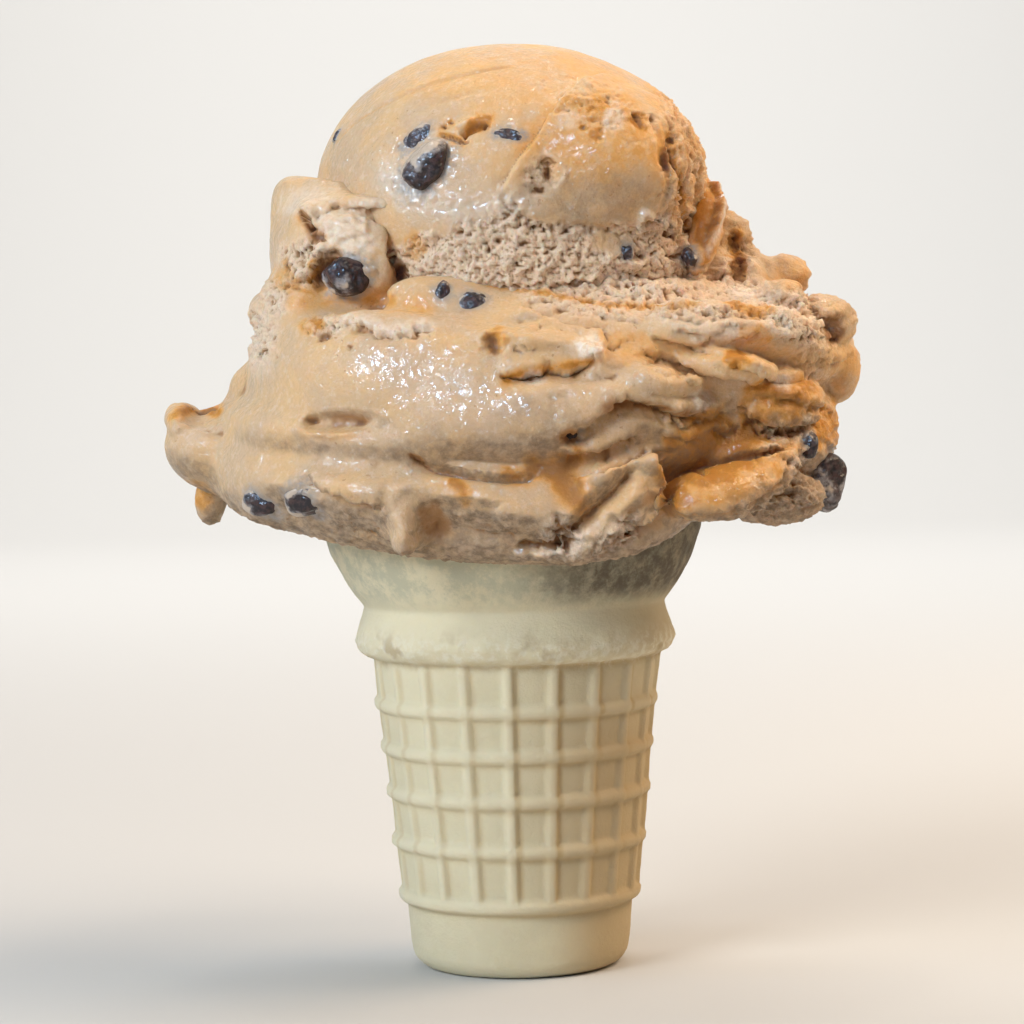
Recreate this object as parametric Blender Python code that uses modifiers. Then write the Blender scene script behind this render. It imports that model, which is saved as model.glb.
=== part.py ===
"""A flat-bottomed wafer cup cone that holds two scoops of coffee ice cream with fudge pieces.

The origin is the centre of the cup's flat base, +Z runs up the cup's axis and the shown side faces -Y.
Sizes are in millimetres and turn into Blender's metres where a mesh is made.
"""
import math

import bmesh
import bpy
from mathutils import Euler, Matrix, Vector, noise

MM = 0.001

# Wafer cup: heights up the axis and radii of its outer wall
CUP_HEIGHT = 82.8
BASE_RADIUS = 17.7
BASE_ROUNDING = 3.4
BAND_TOP = 10.8
BAND_TOP_RADIUS = 18.3
COLLAR_BOTTOM = 50.8
COLLAR_TOP = 59.0
COLLAR_RADIUS = 26.0
NECK_RADIUS = 24.4
LIP_RADIUS = 31.7
BOWL_CURVE = 2.8
BOWL_CROWDING = 1.5
WALL = 2.2
FLOOR = 2.6

# Waffle pattern: raised rings and upright ribs on the tapered wall
LATTICE_FOOT_RADIUS = 18.6
LATTICE_HEAD_RADIUS = 22.9
RING_BOTTOMS = (10.8, 19.7, 27.7, 35.0, 42.1)
RING_WIDTH = 2.3
RING_RISE = 0.95
RING_SLOPE = 0.5
RING_SLOPE_FALL = 0.25
RING_STEP = 0.35
RIB_COUNT = 20
RIB_WIDTH = 2.2
RIB_RISE = 0.7
RIB_ROOT = 0.9
RIB_RIDGE_SHARE = 0.6
RIB_TURN = math.radians(15.0)
CUP_SEGMENTS = 40

# Ice cream: the clear gap between neighbours, and how finely its lumps are fused, softened and thinned
GAP = 0.3
SCOOP_GAP = 0.45
VOXEL = 1.3
SOFT_STEPS = 9
TORN_STEPS = 2
PLUG_TOP = 92.8
PLUG_RADIUS = 18.0
CUP_ROOM_DEPTH = 3.0
LOWER_SHARE = 0.058
UPPER_SHARE = 0.06
BEAD_SPACING = 1.6

# Places in the ice cream are measured from the centre of the cup's mouth
MOUTH = Vector((0.0, 0.0, CUP_HEIGHT))

# Fudge chunks have a centre, radii and a turn in degrees. Chips, which are fused to a scoop, have no turn.
FUDGE_DENTS = 0.22
CHUNKS = {
    "fudge_right": ((49.6, -13, -4.3), (4.0, 4.2, 5.0), (0, 15, 0)),
    "fudge_left": ((-25, -25.4, 28.6), (4.4, 3.6, 3.3), (0, -20, 0)),
    "fudge_dome": ((-12.3, -27.6, 44.9), (5.2, 3.3, 3.3), (0, -38, 0)),
}
UPPER_CHIPS = (
    ((0.1, -28.9, 49.4), (2.0, 1.2, 0.9)),
    ((-13.1, -25.2, 50.2), (2.2, 1.6, 1.4)),
    ((18.2, -25.0, 31.8), (1.2, 1.0, 1.3)),
    ((28.6, -14.7, 31.3), (1.1, 1.1, 1.4)),
)
LOWER_CHIPS = (
    ((-9.8, -29.7, 26.1), (1.4, 1.2, 1.8)),
    ((-5.3, -30.3, 24.4), (2.1, 1.5, 1.9)),
    ((-38.6, -25.8, -6.2), (2.9, 2.0, 1.6)),
    ((-31.3, -32.2, -5.8), (2.8, 2.2, 2.5)),
    ((8.9, -38.6, 4.2), (2.4, 1.5, 1.4)),
)


def clear_scene():
    for obj in list(bpy.data.objects):
        bpy.data.objects.remove(obj)


def new_collection(name):
    collection = bpy.data.collections.new(name)
    bpy.context.scene.collection.children.link(collection)
    return collection


def food_material(name, colour, roughness):
    material = bpy.data.materials.new(name)
    material.use_nodes = True
    shader = material.node_tree.nodes["Principled BSDF"]
    shader.inputs["Base Color"].default_value = (*colour, 1.0)
    shader.inputs["Roughness"].default_value = roughness
    shader.inputs["Metallic"].default_value = 0.0
    return material


def object_from(name, mesh, collection, material=None):
    obj = bpy.data.objects.new(name, mesh)
    collection.objects.link(obj)
    if material:
        mesh.materials.append(material)
    return obj


def as_helper(obj):
    obj.hide_render = True
    obj.display_type = "WIRE"
    return obj


def frozen(obj, name, collection, material=None):
    """A new object that holds obj's evaluated mesh. obj is removed."""
    graph = bpy.context.evaluated_depsgraph_get()
    mesh = bpy.data.meshes.new_from_object(obj.evaluated_get(graph))
    mesh.transform(obj.matrix_world)
    bpy.data.objects.remove(obj)
    mesh.name = name
    mesh.materials.clear()
    return object_from(name, mesh, collection, material)


def boolean(obj, operation, other):
    modifier = obj.modifiers.new(operation.title(), "BOOLEAN")
    modifier.operation = operation
    modifier.solver = "EXACT"
    if isinstance(other, bpy.types.Collection):
        modifier.operand_type = "COLLECTION"
        modifier.collection = other
    else:
        modifier.object = other
    return modifier


# Wafer cup

def arc(centre, radius, start, end, steps):
    """Points of a round stretch of a profile, angles in degrees from +X towards +Z."""
    for i in range(steps + 1):
        angle = math.radians(start + (end - start) * i / steps)
        yield centre[0] + radius * math.cos(angle), centre[1] + radius * math.sin(angle)


def lattice_radius(z):
    """Outer radius of the tapered wall between the raised rings."""
    t = (z - BAND_TOP) / (COLLAR_BOTTOM - BAND_TOP)
    return LATTICE_FOOT_RADIUS + (LATTICE_HEAD_RADIUS - LATTICE_FOOT_RADIUS) * t


def bowl_radius(z):
    """Outer radius of the flared bowl, steep at the lip and spreading fast above the collar."""
    t = (z - COLLAR_TOP) / (CUP_HEIGHT - COLLAR_TOP)
    return NECK_RADIUS + (LIP_RADIUS - NECK_RADIUS) * (1 - (1 - t) ** BOWL_CURVE)


def bowl_heights(steps):
    """Heights up the bowl, closer together above the collar where it curves most."""
    rise = CUP_HEIGHT - COLLAR_TOP - WALL / 2
    return [COLLAR_TOP + rise * (i / steps) ** BOWL_CROWDING for i in range(1, steps + 1)]


def inner_profile(offset=0.0):
    """The cup's inner wall from the floor's centre up to the lip; offset moves it into the hollow."""
    floor = FLOOR + offset
    foot = lattice_radius(BAND_TOP) - WALL - offset
    yield 0.0, floor
    yield foot - 1.0, floor
    yield foot, floor + 1.5
    yield lattice_radius(COLLAR_BOTTOM) - WALL - offset, COLLAR_BOTTOM
    yield NECK_RADIUS - WALL - offset, COLLAR_TOP
    for z in bowl_heights(3):
        yield bowl_radius(z) - WALL - offset, z


def collar_profile():
    """The bulging collar, from its neck down to the sharp step over the waffle pattern."""
    yield NECK_RADIUS, COLLAR_TOP
    yield NECK_RADIUS + 0.7, COLLAR_TOP - 2.4
    yield COLLAR_RADIUS - 0.2, COLLAR_BOTTOM + 3.6
    yield COLLAR_RADIUS, COLLAR_BOTTOM + 2.4
    yield COLLAR_RADIUS - 0.8, COLLAR_BOTTOM + 0.7
    yield lattice_radius(COLLAR_BOTTOM) + RIB_RISE + 0.5, COLLAR_BOTTOM
    yield lattice_radius(COLLAR_BOTTOM), COLLAR_BOTTOM - 0.2


def outer_profile():
    """The cup's outer wall from the lip down to the base's centre."""
    yield from arc((LIP_RADIUS - WALL / 2, CUP_HEIGHT - WALL / 2), WALL / 2, 150, 15, 4)
    for z in reversed(bowl_heights(6)[:-1]):
        yield bowl_radius(z), z
    yield from collar_profile()
    for bottom in reversed(RING_BOTTOMS):
        top = bottom + RING_WIDTH
        under = BAND_TOP_RADIUS if bottom == BAND_TOP else lattice_radius(bottom)
        yield lattice_radius(top), top
        yield lattice_radius(top) + RING_RISE - RING_SLOPE_FALL, top - RING_SLOPE
        yield lattice_radius(bottom) + RING_RISE, bottom + RING_STEP
        yield under, bottom
    yield from arc((BASE_RADIUS - BASE_ROUNDING, BASE_ROUNDING), BASE_ROUNDING, 0, -90, 4)
    yield 0.0, 0.0


def turned(name, profile, collection, material=None, segments=CUP_SEGMENTS):
    """A solid of revolution about Z from (radius, height) points that run down its outer side."""
    mesh = bpy.data.meshes.new(name)
    points = [(radius * MM, 0.0, z * MM) for radius, z in profile]
    mesh.from_pydata(points, [(i, i + 1) for i in range(len(points) - 1)], [])
    obj = object_from(name, mesh, collection, material)
    screw = obj.modifiers.new("Turn", "SCREW")
    screw.steps = screw.render_steps = segments
    screw.use_merge_vertices = True
    screw.merge_threshold = 0.00002
    return obj


def upright_rib(index, collection):
    """One rib of the waffle pattern: a bar along the tapered wall from the lowest ring to the collar."""
    foot = BAND_TOP + RING_WIDTH / 2
    head = COLLAR_BOTTOM + 0.6
    lean = math.atan2(lattice_radius(head) - lattice_radius(foot), head - foot)
    angle = RIB_TURN + 2 * math.pi * index / RIB_COUNT
    middle = (foot + head) / 2
    radius = lattice_radius(middle) + (RIB_RISE - RIB_ROOT) / 2
    bm = bmesh.new()
    bmesh.ops.create_cube(bm, size=1.0)
    bmesh.ops.scale(bm, vec=((RIB_RISE + RIB_ROOT) * MM, RIB_WIDTH * MM, (head - foot) * MM), verts=bm.verts)
    for vert in bm.verts:
        if vert.co.x > 0:
            vert.co.y *= RIB_RIDGE_SHARE
    bmesh.ops.rotate(bm, matrix=Matrix.Rotation(lean, 3, "Y"), verts=bm.verts)
    bmesh.ops.translate(bm, vec=(radius * MM, 0, middle * MM), verts=bm.verts)
    bmesh.ops.rotate(bm, matrix=Matrix.Rotation(angle, 3, "Z"), verts=bm.verts)
    mesh = bpy.data.meshes.new(f"rib_{index}")
    bm.to_mesh(mesh)
    bm.free()
    return object_from(f"rib_{index}", mesh, collection)


def wafer_cup(collection, material):
    """The turned cup with its upright ribs joined on."""
    ribs = new_collection("ribs")
    for index in range(RIB_COUNT):
        upright_rib(index, ribs)
    body = turned("cup_body", [*inner_profile(), *outer_profile()], collection)
    boolean(body, "UNION", ribs)
    cup = frozen(body, "wafer_cup", collection, material)
    for rib in list(ribs.objects):
        bpy.data.objects.remove(rib)
    bpy.data.collections.remove(ribs)
    return cup


# Ice cream

def lump(bm, centre, radii, turn=(0, 0, 0), shoulders=2.0):
    """One soft lump: a ball scaled to radii and turned, angles in degrees.

    Shoulders of 2 give an ellipsoid, and more give fuller shoulders under a flatter top.
    """
    detail = 5 if max(radii) > 12 else 4 if max(radii) > 4.5 else 3
    verts = bmesh.ops.create_icosphere(bm, subdivisions=detail, radius=1.0)["verts"]
    for vert in verts:
        side = math.hypot(vert.co.x, vert.co.y)
        vert.co /= (side ** shoulders + abs(vert.co.z) ** shoulders) ** (1 / shoulders)
    rotation = Euler([math.radians(a) for a in turn])
    place = Matrix.LocRotScale((MOUTH + Vector(centre)) * MM, rotation, Vector(radii) * MM)
    bmesh.ops.transform(bm, matrix=place, verts=verts)


def smooth_path(points, t):
    """A point of the smooth curve through points, t from 0 to 1."""
    spans = len(points) - 1
    i = min(int(t * spans), spans - 1)
    u = t * spans - i
    a, b, c, d = (Vector(points[min(max(k, 0), spans)]) for k in (i - 1, i, i + 1, i + 2))
    bend = 2 * a - 5 * b + 4 * c - d
    twist = 3 * b - a - 3 * c + d
    return 0.5 * (2 * b + (c - a) * u + bend * u**2 + twist * u**3)


def roll(bm, path, depth, height, ends=(0.75, 0.75)):
    """A scraped roll of ice cream: close beads along a smooth path, thinner towards its ends."""
    length = sum((Vector(b) - Vector(a)).length for a, b in zip(path, path[1:]))
    beads = max(8, round(length / BEAD_SPACING))
    for i in range(beads + 1):
        t = i / beads
        end = ends[0] if t < 0.5 else ends[1]
        size = end + (1 - end) * math.sin(math.pi * t) ** 0.7
        radii = Vector((depth, depth, height)) * size
        place = Matrix.LocRotScale((MOUTH + smooth_path(path, t)) * MM, None, radii * MM)
        bmesh.ops.create_icosphere(bm, subdivisions=3, radius=1.0, matrix=place)


def lower_soft_lumps(bm):
    """The broad soft masses of the lower scoop."""
    # heart of the scoop, over the cup's mouth
    lump(bm, (2, 1, 6), (41, 35, 16))
    lump(bm, (5, 1, 20), (39, 33, 13.5))
    # broad roll round the left and front, the skirt below it and what joins the two at the left
    roll(bm, [(-34, 8, 14), (-33.5, -12, 13.5), (-25, -25.5, 12.5), (-10, -31.5, 11), (6, -32, 9.5),
              (18, -30, 7.5), (27, -26, 5)], 9, 11.5)
    roll(bm, [(-45, 0, 2), (-39, -17, -2), (-27, -27.5, -4.5), (-11, -33, -7), (6, -33, -8.5),
              (16, -30.5, -8), (24, -26, -6)], 7.4, 8.2)
    roll(bm, [(-41, 0, 8), (-35, -18, 6), (-25, -27, 4.5), (-14, -32, 3)], 8.5, 5)
    lump(bm, (-41, -2, 12), (4.6, 7, 4.5))
    # back of the scoop
    roll(bm, [(38, 14, 17), (22, 27, 16), (0, 32, 14), (-22, 26, 14), (-34, 8, 13)], 9, 10.5)
    roll(bm, [(46, 4, 0), (35, 23, -3), (13, 32, -6), (-10, 33, -6), (-30, 26, -3), (-43, 8, 0)], 8, 8.5)
    lump(bm, (14, 24, 24), (15, 9, 6), (0, 6, -18))
    lump(bm, (-16, 24, 25), (13, 9, 7), (0, -8, 22))
    # tongue at the far left, rising outwards
    lump(bm, (-46.5, -6, 2), (9.5, 10, 7), (0, 14, 0))
    # ledge wrapped round the lower left of the upper scoop
    roll(bm, [(-30, 6, 33), (-30.5, -6, 34.5), (-27.5, -15, 33.5), (-22, -21, 31)], 8, 11, (0.8, 0.62))
    lump(bm, (-33, -5, 40.2), (5, 9, 5), (0, 10, 0), 3.0)
    lump(bm, (-31, -11, 24), (9, 13, 8))
    # upper and lower bulges of the right side
    lump(bm, (37, -4, 17.5), (17.5, 22, 9.5), (0, 8, 0))
    lump(bm, (35, -4, 2), (17.5, 25, 9.5))
    lump(bm, (36, -1, 28), (10, 13, 6.5), (0, 20, 0))
    lump(bm, (12, -27, 18), (24, 8, 6.5), (0, 4, 8))
    lump(bm, (33, -23, 11), (9, 7, 6))
    lump(bm, (-8, -26.5, 23.8), (11, 4.8, 4.8), (0, 12, 0))


def lower_torn_lumps(bm):
    """The torn flaps, knobs and curls that stand out of the lower scoop's soft masses."""
    # tongue's turned-up lip and the drop that hangs behind it
    roll(bm, [(-52.6, -11, 5), (-53.4, -5, 6.6), (-52.5, 3, 6)], 2.6, 2.8)
    lump(bm, (-47.5, 1, -2.5), (4, 4.5, 4.5))
    lump(bm, (-49.2, 1, -6.2), (2.9, 3.2, 4.4))
    # knob and bumps down the left outline
    lump(bm, (-38.4, -6, 24.2), (3.4, 5, 3.6))
    lump(bm, (-40.5, -3, 19), (2.4, 5, 3))
    # torn ridge along the top of the broad roll
    roll(bm, [(-31, -24.5, 21), (-23, -29, 21.8), (-14, -31, 21.4), (-7, -32, 21)], 4, 1.7)
    # shelves that run out to the right over the front, each with a free tip
    lump(bm, (3.5, -33.5, 18.2), (11, 6.5, 2.6), (0, 8, 4))
    lump(bm, (13, -38.3, 16.2), (1.8, 1.8, 1.6))
    lump(bm, (16, -31.5, 12.8), (14, 7, 2.8), (0, 7, -6))
    lump(bm, (31, -27, 15), (11, 7, 2.2), (0, 12, -30))
    roll(bm, [(24, -28, 20), (36, -24.5, 19.5), (46, -17, 17.5)], 7, 4.4)
    # leaf folded up against the lower front, and the thin lip beside it
    lump(bm, (14.5, -33, -5), (8.5, 6.5, 6.8), (0, -35, 6))
    roll(bm, [(13, -34, -10), (18.5, -34.5, -4), (20.5, -33.5, 2)], 3.4, 3.6, (0.8, 0.8))
    roll(bm, [(-2, -35, -13.2), (6, -35, -14), (12, -33.5, -12.5)], 4, 1.8)
    # edge of the skirt's upper layer and the drip that falls from it
    roll(bm, [(-34, -27, -2.5), (-25, -32, -3.4), (-15, -34.8, -3.6), (-7, -35.5, -3)], 5, 2.6)
    roll(bm, [(-17.5, -36.5, -2.5), (-16.6, -39, -7), (-16.3, -39.3, -11.4)], 2.4, 3.0, (1.3, 0.75))
    # block and rim of the right side, with the golden curl and the lump under it
    lump(bm, (41, -22, 9), (8.5, 6, 4.3), (0, 4, 28), 3.0)
    roll(bm, [(40, -22, 0.5), (46, -17, 1.6), (49.5, -11, 1)], 3.2, 1.6)
    roll(bm, [(22, -33, -5), (29, -33, -6.8), (36.5, -29.5, -5.4), (43, -23.5, -1)], 4.2, 3.7, (0.7, 0.6))
    lump(bm, (41, -15, -7), (8.5, 9, 4.4))
    lump(bm, (45.5, -18.5, -3.5), (3, 3, 3.6))
    # lumps down the right outline
    lump(bm, (31.2, -8, 37.2), (3.6, 5, 8.2), (0, 4, 0))
    lump(bm, (35.4, -4, 34.6), (4.1, 6, 5))
    lump(bm, (44.4, -3, 28), (4.6, 5, 3.8))
    lump(bm, (43, -14, 24), (5, 5, 3.6))
    lump(bm, (50, -9, 21), (5.8, 7, 4.8))
    lump(bm, (53, -4, 13.3), (3.7, 6, 5.8))
    lump(bm, (49.5, -8, 4.5), (3.2, 5, 6))


def upper_soft_lumps(bm):
    """The upper scoop: a full-shouldered ball, its rough foot and the smooth lap over its front right."""
    lump(bm, (1, 1, 41.6), (32, 31.5, 25), shoulders=2.3)
    lump(bm, (2.5, 0.5, 31.5), (31, 30.4, 14), shoulders=2.2)
    lump(bm, (14.5, -15, 46), (17.2, 16.6, 13.5), (0, 12, 0))


def upper_torn_lumps(bm):
    """The strip pulled down the right of the upper scoop."""
    roll(bm, [(29.5, -12, 49), (30.5, -12, 42), (30, -12, 34)], 2.4, 3)


def as_object(name, bm, collection, material=None):
    mesh = bpy.data.meshes.new(name)
    bm.to_mesh(mesh)
    bm.free()
    return object_from(name, mesh, collection, material)


def fused(obj, steps):
    """Fuses everything inside obj into one skin and softens it."""
    remesh = obj.modifiers.new("Fuse", "REMESH")
    remesh.mode = "VOXEL"
    remesh.voxel_size = VOXEL * MM
    smooth = obj.modifiers.new("Soften", "SMOOTH")
    smooth.factor = 0.5
    smooth.iterations = steps


def scooped(name, soft_lumps, torn_lumps, share, collection):
    """Soft masses fused and well softened, sharper torn pieces fused on, and all thinned to a share."""
    bm = bmesh.new()
    soft_lumps(bm)
    soft = as_object(name + "_soft", bm, collection)
    fused(soft, SOFT_STEPS)
    soft = frozen(soft, name + "_soft", collection)
    bm = bmesh.new()
    bm.from_mesh(soft.data)
    torn_lumps(bm)
    bpy.data.objects.remove(soft)
    scoop = as_object(name, bm, collection)
    fused(scoop, TORN_STEPS)
    thin = scoop.modifiers.new("Thin", "DECIMATE")
    thin.ratio = share
    return scoop


def grown(obj, name, collection, distance):
    """A helper copy of obj whose skin lies distance outside obj's."""
    copy = object_from(name, obj.data.copy(), collection)
    displace = copy.modifiers.new("Grow", "DISPLACE")
    displace.strength = distance * MM
    displace.mid_level = 0.0
    return as_helper(copy)


def fudge_piece(name, centre, radii, turn, collection, material=None):
    """A rough-sided chunk of fudge; its dents follow from its place."""
    bm = bmesh.new()
    bmesh.ops.create_icosphere(bm, subdivisions=2, radius=1.0)
    for vert in bm.verts:
        vert.co *= 1.0 + FUDGE_DENTS * noise.noise(vert.co * 1.3 + Vector(centre))
    rotation = Euler([math.radians(a) for a in turn])
    place = Matrix.LocRotScale((MOUTH + Vector(centre)) * MM, rotation, Vector(radii) * MM)
    bmesh.ops.transform(bm, matrix=place, verts=bm.verts)
    return as_object(name, bm, collection, material)


def joined_on(scoop, name, chips, collection, material):
    """The scoop with small fudge chips fused into its skin, as a plain mesh. scoop is removed."""
    group = new_collection(name + "_chips")
    for index, (centre, radii) in enumerate(chips):
        fudge_piece(f"{name}_chip_{index}", centre, radii, (0, 0, 0), group)
    boolean(scoop, "UNION", group)
    whole = frozen(scoop, name, collection, material)
    for chip in list(group.objects):
        bpy.data.objects.remove(chip)
    bpy.data.collections.remove(group)
    return whole


def main():
    clear_scene()
    food = new_collection("ice_cream_cone")
    helpers = new_collection("cutters")
    wafer = food_material("wafer", (0.68, 0.60, 0.36), 0.85)
    coffee = food_material("coffee_ice_cream", (0.62, 0.42, 0.25), 0.45)
    fudge = food_material("fudge", (0.035, 0.02, 0.02), 0.3)

    wafer_cup(food, wafer)

    upper = scooped("upper_raw", upper_soft_lumps, upper_torn_lumps, UPPER_SHARE, helpers)
    upper = joined_on(upper, "scoop_upper", UPPER_CHIPS, food, coffee)
    lower = scooped("lower_raw", lower_soft_lumps, lower_torn_lumps, LOWER_SHARE, helpers)
    lower = joined_on(lower, "lower_with_chips", LOWER_CHIPS, helpers, coffee)

    # what the cup takes up, with a gap all round: all of its inside is filled by the plug
    outside = [(bowl_radius(z) + GAP, z) for z in reversed(bowl_heights(6))]
    room_floor = COLLAR_TOP - CUP_ROOM_DEPTH
    room_lid = [(0.0, CUP_HEIGHT + GAP), (LIP_RADIUS + GAP, CUP_HEIGHT + GAP)]
    room_foot = [(COLLAR_RADIUS + GAP, room_floor), (0.0, room_floor)]
    cup_room = as_helper(turned("cup_room", [*room_lid, *outside, *room_foot], helpers))
    plug_lid = [(0.0, PLUG_TOP), (PLUG_RADIUS, PLUG_TOP)]
    plug = as_helper(turned("plug", [*plug_lid, *reversed(list(inner_profile(GAP)))], helpers))
    upper_room = grown(upper, "upper_room", helpers, SCOOP_GAP)

    boolean(lower, "DIFFERENCE", cup_room)
    boolean(lower, "UNION", plug)
    boolean(lower, "DIFFERENCE", upper_room)

    for name, (centre, radii, turn) in CHUNKS.items():
        piece = fudge_piece(name, centre, radii, turn, food, fudge)
        room = grown(piece, name + "_room", helpers, GAP)
        boolean(upper if name == "fudge_dome" else lower, "DIFFERENCE", room)

    frozen(lower, "scoop_lower", food, coffee)


main()
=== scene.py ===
# %% [markdown]
# # Two scoops in a wafer cup
# This lesson dresses a flat-bottomed wafer cup heaped with coffee ice cream and lumps of fudge. The solids
# that a separate script made are loaded first. They give every size and place, and they are never moved:
# the fine pieces made here stand in for them.

# %% Load the solids that everything here is fitted to
import math

import bmesh
import bpy
import numpy as np
from mathutils import Euler, Matrix, Vector
from mathutils.bvhtree import BVHTree


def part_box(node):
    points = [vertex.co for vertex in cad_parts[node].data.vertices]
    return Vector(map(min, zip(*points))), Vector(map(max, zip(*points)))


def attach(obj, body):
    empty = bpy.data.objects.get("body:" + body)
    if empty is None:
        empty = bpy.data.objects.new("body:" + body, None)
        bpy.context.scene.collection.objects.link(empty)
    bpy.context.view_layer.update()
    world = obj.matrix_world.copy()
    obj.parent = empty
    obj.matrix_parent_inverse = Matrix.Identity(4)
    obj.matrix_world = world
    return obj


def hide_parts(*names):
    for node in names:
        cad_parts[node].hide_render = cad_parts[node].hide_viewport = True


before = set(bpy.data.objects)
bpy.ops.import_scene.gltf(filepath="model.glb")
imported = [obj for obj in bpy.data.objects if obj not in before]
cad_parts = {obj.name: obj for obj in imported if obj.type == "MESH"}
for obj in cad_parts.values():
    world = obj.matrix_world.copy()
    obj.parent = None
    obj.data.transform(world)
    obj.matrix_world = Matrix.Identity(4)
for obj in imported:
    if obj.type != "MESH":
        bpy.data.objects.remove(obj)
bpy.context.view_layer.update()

print("solids:", sorted(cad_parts))

# %% [markdown]
# ## Units and the one place everything is measured from
# Food is easiest to think about in millimetres, while Blender's meshes are in metres. Places in the ice
# cream are measured from the centre of the cup's mouth, because a scoop grows out of the cup it sits in.

# %% Units, the cup's mouth and its height
MM = 0.001
cup_corner = np.array(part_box("wafer_cup")[1]) / MM
CUP_HEIGHT = cup_corner[2]
LIP_RADIUS = cup_corner[0]
MOUTH = np.array((0.0, 0.0, CUP_HEIGHT))
print(f"cup: {CUP_HEIGHT:.1f} mm high, {2 * LIP_RADIUS:.1f} mm across its mouth")

# %% [markdown]
# ## Camera
# The picture was taken from half a metre away with a long lens, a little from above and turned by about
# one degree. A sensor width of 36 mm turns the focal length in pixels into Blender's lens value.

# %% Camera
PICTURE_WIDTH = 1024
FOCAL_PIXELS = 3070
SENSOR_WIDTH = 36.0
CAMERA_PLACE = (0.0, -0.5, 0.0952)
LOOKS_DOWN = math.radians(2.46)
TURNED = math.radians(1.2)

camera = bpy.data.objects.new("camera", bpy.data.cameras.new("camera"))
bpy.context.scene.collection.objects.link(camera)
camera.data.sensor_width = SENSOR_WIDTH
camera.data.lens = SENSOR_WIDTH * FOCAL_PIXELS / PICTURE_WIDTH
level = Matrix.Rotation(math.radians(90) - LOOKS_DOWN, 4, "X")
camera.matrix_world = Matrix.Translation(CAMERA_PLACE) @ level @ Matrix.Rotation(-TURNED, 4, "Z")
bpy.context.scene.camera = camera
print(f"lens: {camera.data.lens:.1f} mm")

# %% [markdown]
# ## Light
# Ice cream shows its shape through soft light and its wetness through highlights. A large window stands low
# at the front left, with a cooler one beside it, and warm lamps hang at the right, so that one side is cool
# and the other golden. A long cool strip of sky is seen only by reflections, as it would be by a wet skin
# that breaks it into sparkles, and one small lamp overhead gives a few warm glints. Area lights are used
# because their size decides how soft the shadows and how broad the highlights are. One more light only
# brightens the wall behind.

# %% Lights and the pale surroundings
SUBJECT = Vector((0.0, 0.0, 0.09))
WALL_SPOT = Vector((0.0, 2.3, 0.35))


def window(name, place, size, power, colour, towards=SUBJECT):
    """A square soft light; place and size are in metres, power is in watts."""
    light = bpy.data.lights.new(name, "AREA")
    light.size = size
    light.energy = power
    light.color = colour
    obj = bpy.data.objects.new(name, light)
    bpy.context.scene.collection.objects.link(obj)
    obj.location = place
    obj.rotation_euler = (towards - Vector(place)).to_track_quat("-Z", "Y").to_euler()
    return obj


window("front_window", (-0.45, -0.50, 0.42), 0.34, 3.9, (0.96, 1.0, 1.0))
window("side_window", (-0.65, -0.15, 0.35), 0.34, 1.1, (0.5, 0.7, 1.0))
window("glints", (-0.05, 0.10, 1.0), 0.05, 0.25, (1.0, 0.93, 0.80))
window("warm_lamp", (0.36, -0.16, 0.70), 0.40, 2.6, (1.0, 0.85, 0.68))
window("golden_lamp", (0.55, 0.12, 0.50), 0.40, 3.1, (1.0, 0.77, 0.54))
sky_strip = window("sky_strip", (-0.32, -0.68, 0.46), 0.56, 11.5, (0.34, 0.62, 1.0))
sky_strip.data.shape = "RECTANGLE"
sky_strip.data.size_y = 0.12
sky_strip.visible_diffuse = False
window("wall_light", (0.0, 0.75, 1.5), 0.8, 42.0, (1.0, 0.99, 0.97), WALL_SPOT)

surroundings = bpy.data.worlds.new("pale_room")
surroundings.use_nodes = True
background = surroundings.node_tree.nodes["Background"]
background.inputs["Color"].default_value = (1.0, 0.98, 0.95, 1.0)
background.inputs["Strength"].default_value = 0.03
bpy.context.scene.world = surroundings
bpy.context.scene.view_settings.view_transform = "Standard"

# %% [markdown]
# ## Helpers for materials
# Every finish here is built from shader nodes. Small helpers keep that readable: one adds a node and fills
# in its sockets, one makes a noise texture with its own scale, and one lays colour over colour. A float
# attribute on the mesh tells the shader where the ice cream is wet, crumbly or stained with caramel.

# %% Node helpers


def new_material(name):
    """A material with its node tree and its shader."""
    material = bpy.data.materials.new(name)
    material.use_nodes = True
    return material, material.node_tree, material.node_tree.nodes["Principled BSDF"]


def add(tree, kind, sockets=None, **settings):
    """Adds a node, sets its properties, and fills sockets with values or with other nodes' outputs."""
    node = tree.nodes.new("ShaderNode" + kind)
    for key, value in settings.items():
        setattr(node, key, value)
    for key, value in (sockets or {}).items():
        if isinstance(value, bpy.types.NodeSocket):
            tree.links.new(value, node.inputs[key])
        else:
            node.inputs[key].default_value = value
    return node


def grain(tree, size_mm, detail=3.0, roughness=0.55, distortion=0.0, seed=0.0):
    """Noise whose blotches are about size_mm across, from 0 to 1."""
    where = add(tree, "TexCoord").outputs["Object"]
    if seed:
        where = add(tree, "VectorMath", {0: where, 1: (seed, seed * 0.7, seed * 1.3)}).outputs[0]
    sockets = {"Vector": where, "Scale": 1.0 / (size_mm * MM), "Detail": detail,
               "Roughness": roughness, "Distortion": distortion}
    return add(tree, "TexNoise", sockets, noise_type="FBM").outputs["Fac"]


def remap(tree, value, low, high, to_low=0.0, to_high=1.0):
    """Value from low..high to to_low..to_high, clamped and eased."""
    sockets = {"Value": value, "From Min": low, "From Max": high, "To Min": to_low, "To Max": to_high}
    return add(tree, "MapRange", sockets, interpolation_type="SMOOTHSTEP").outputs["Result"]


def times(tree, a, b):
    """Both multiplied, kept between 0 and 1."""
    return add(tree, "Math", {0: a, 1: b}, operation="MULTIPLY", use_clamp=True).outputs[0]


def plus(tree, a, b):
    """The sum of both."""
    return add(tree, "Math", {0: a, 1: b}, operation="ADD").outputs[0]


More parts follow.
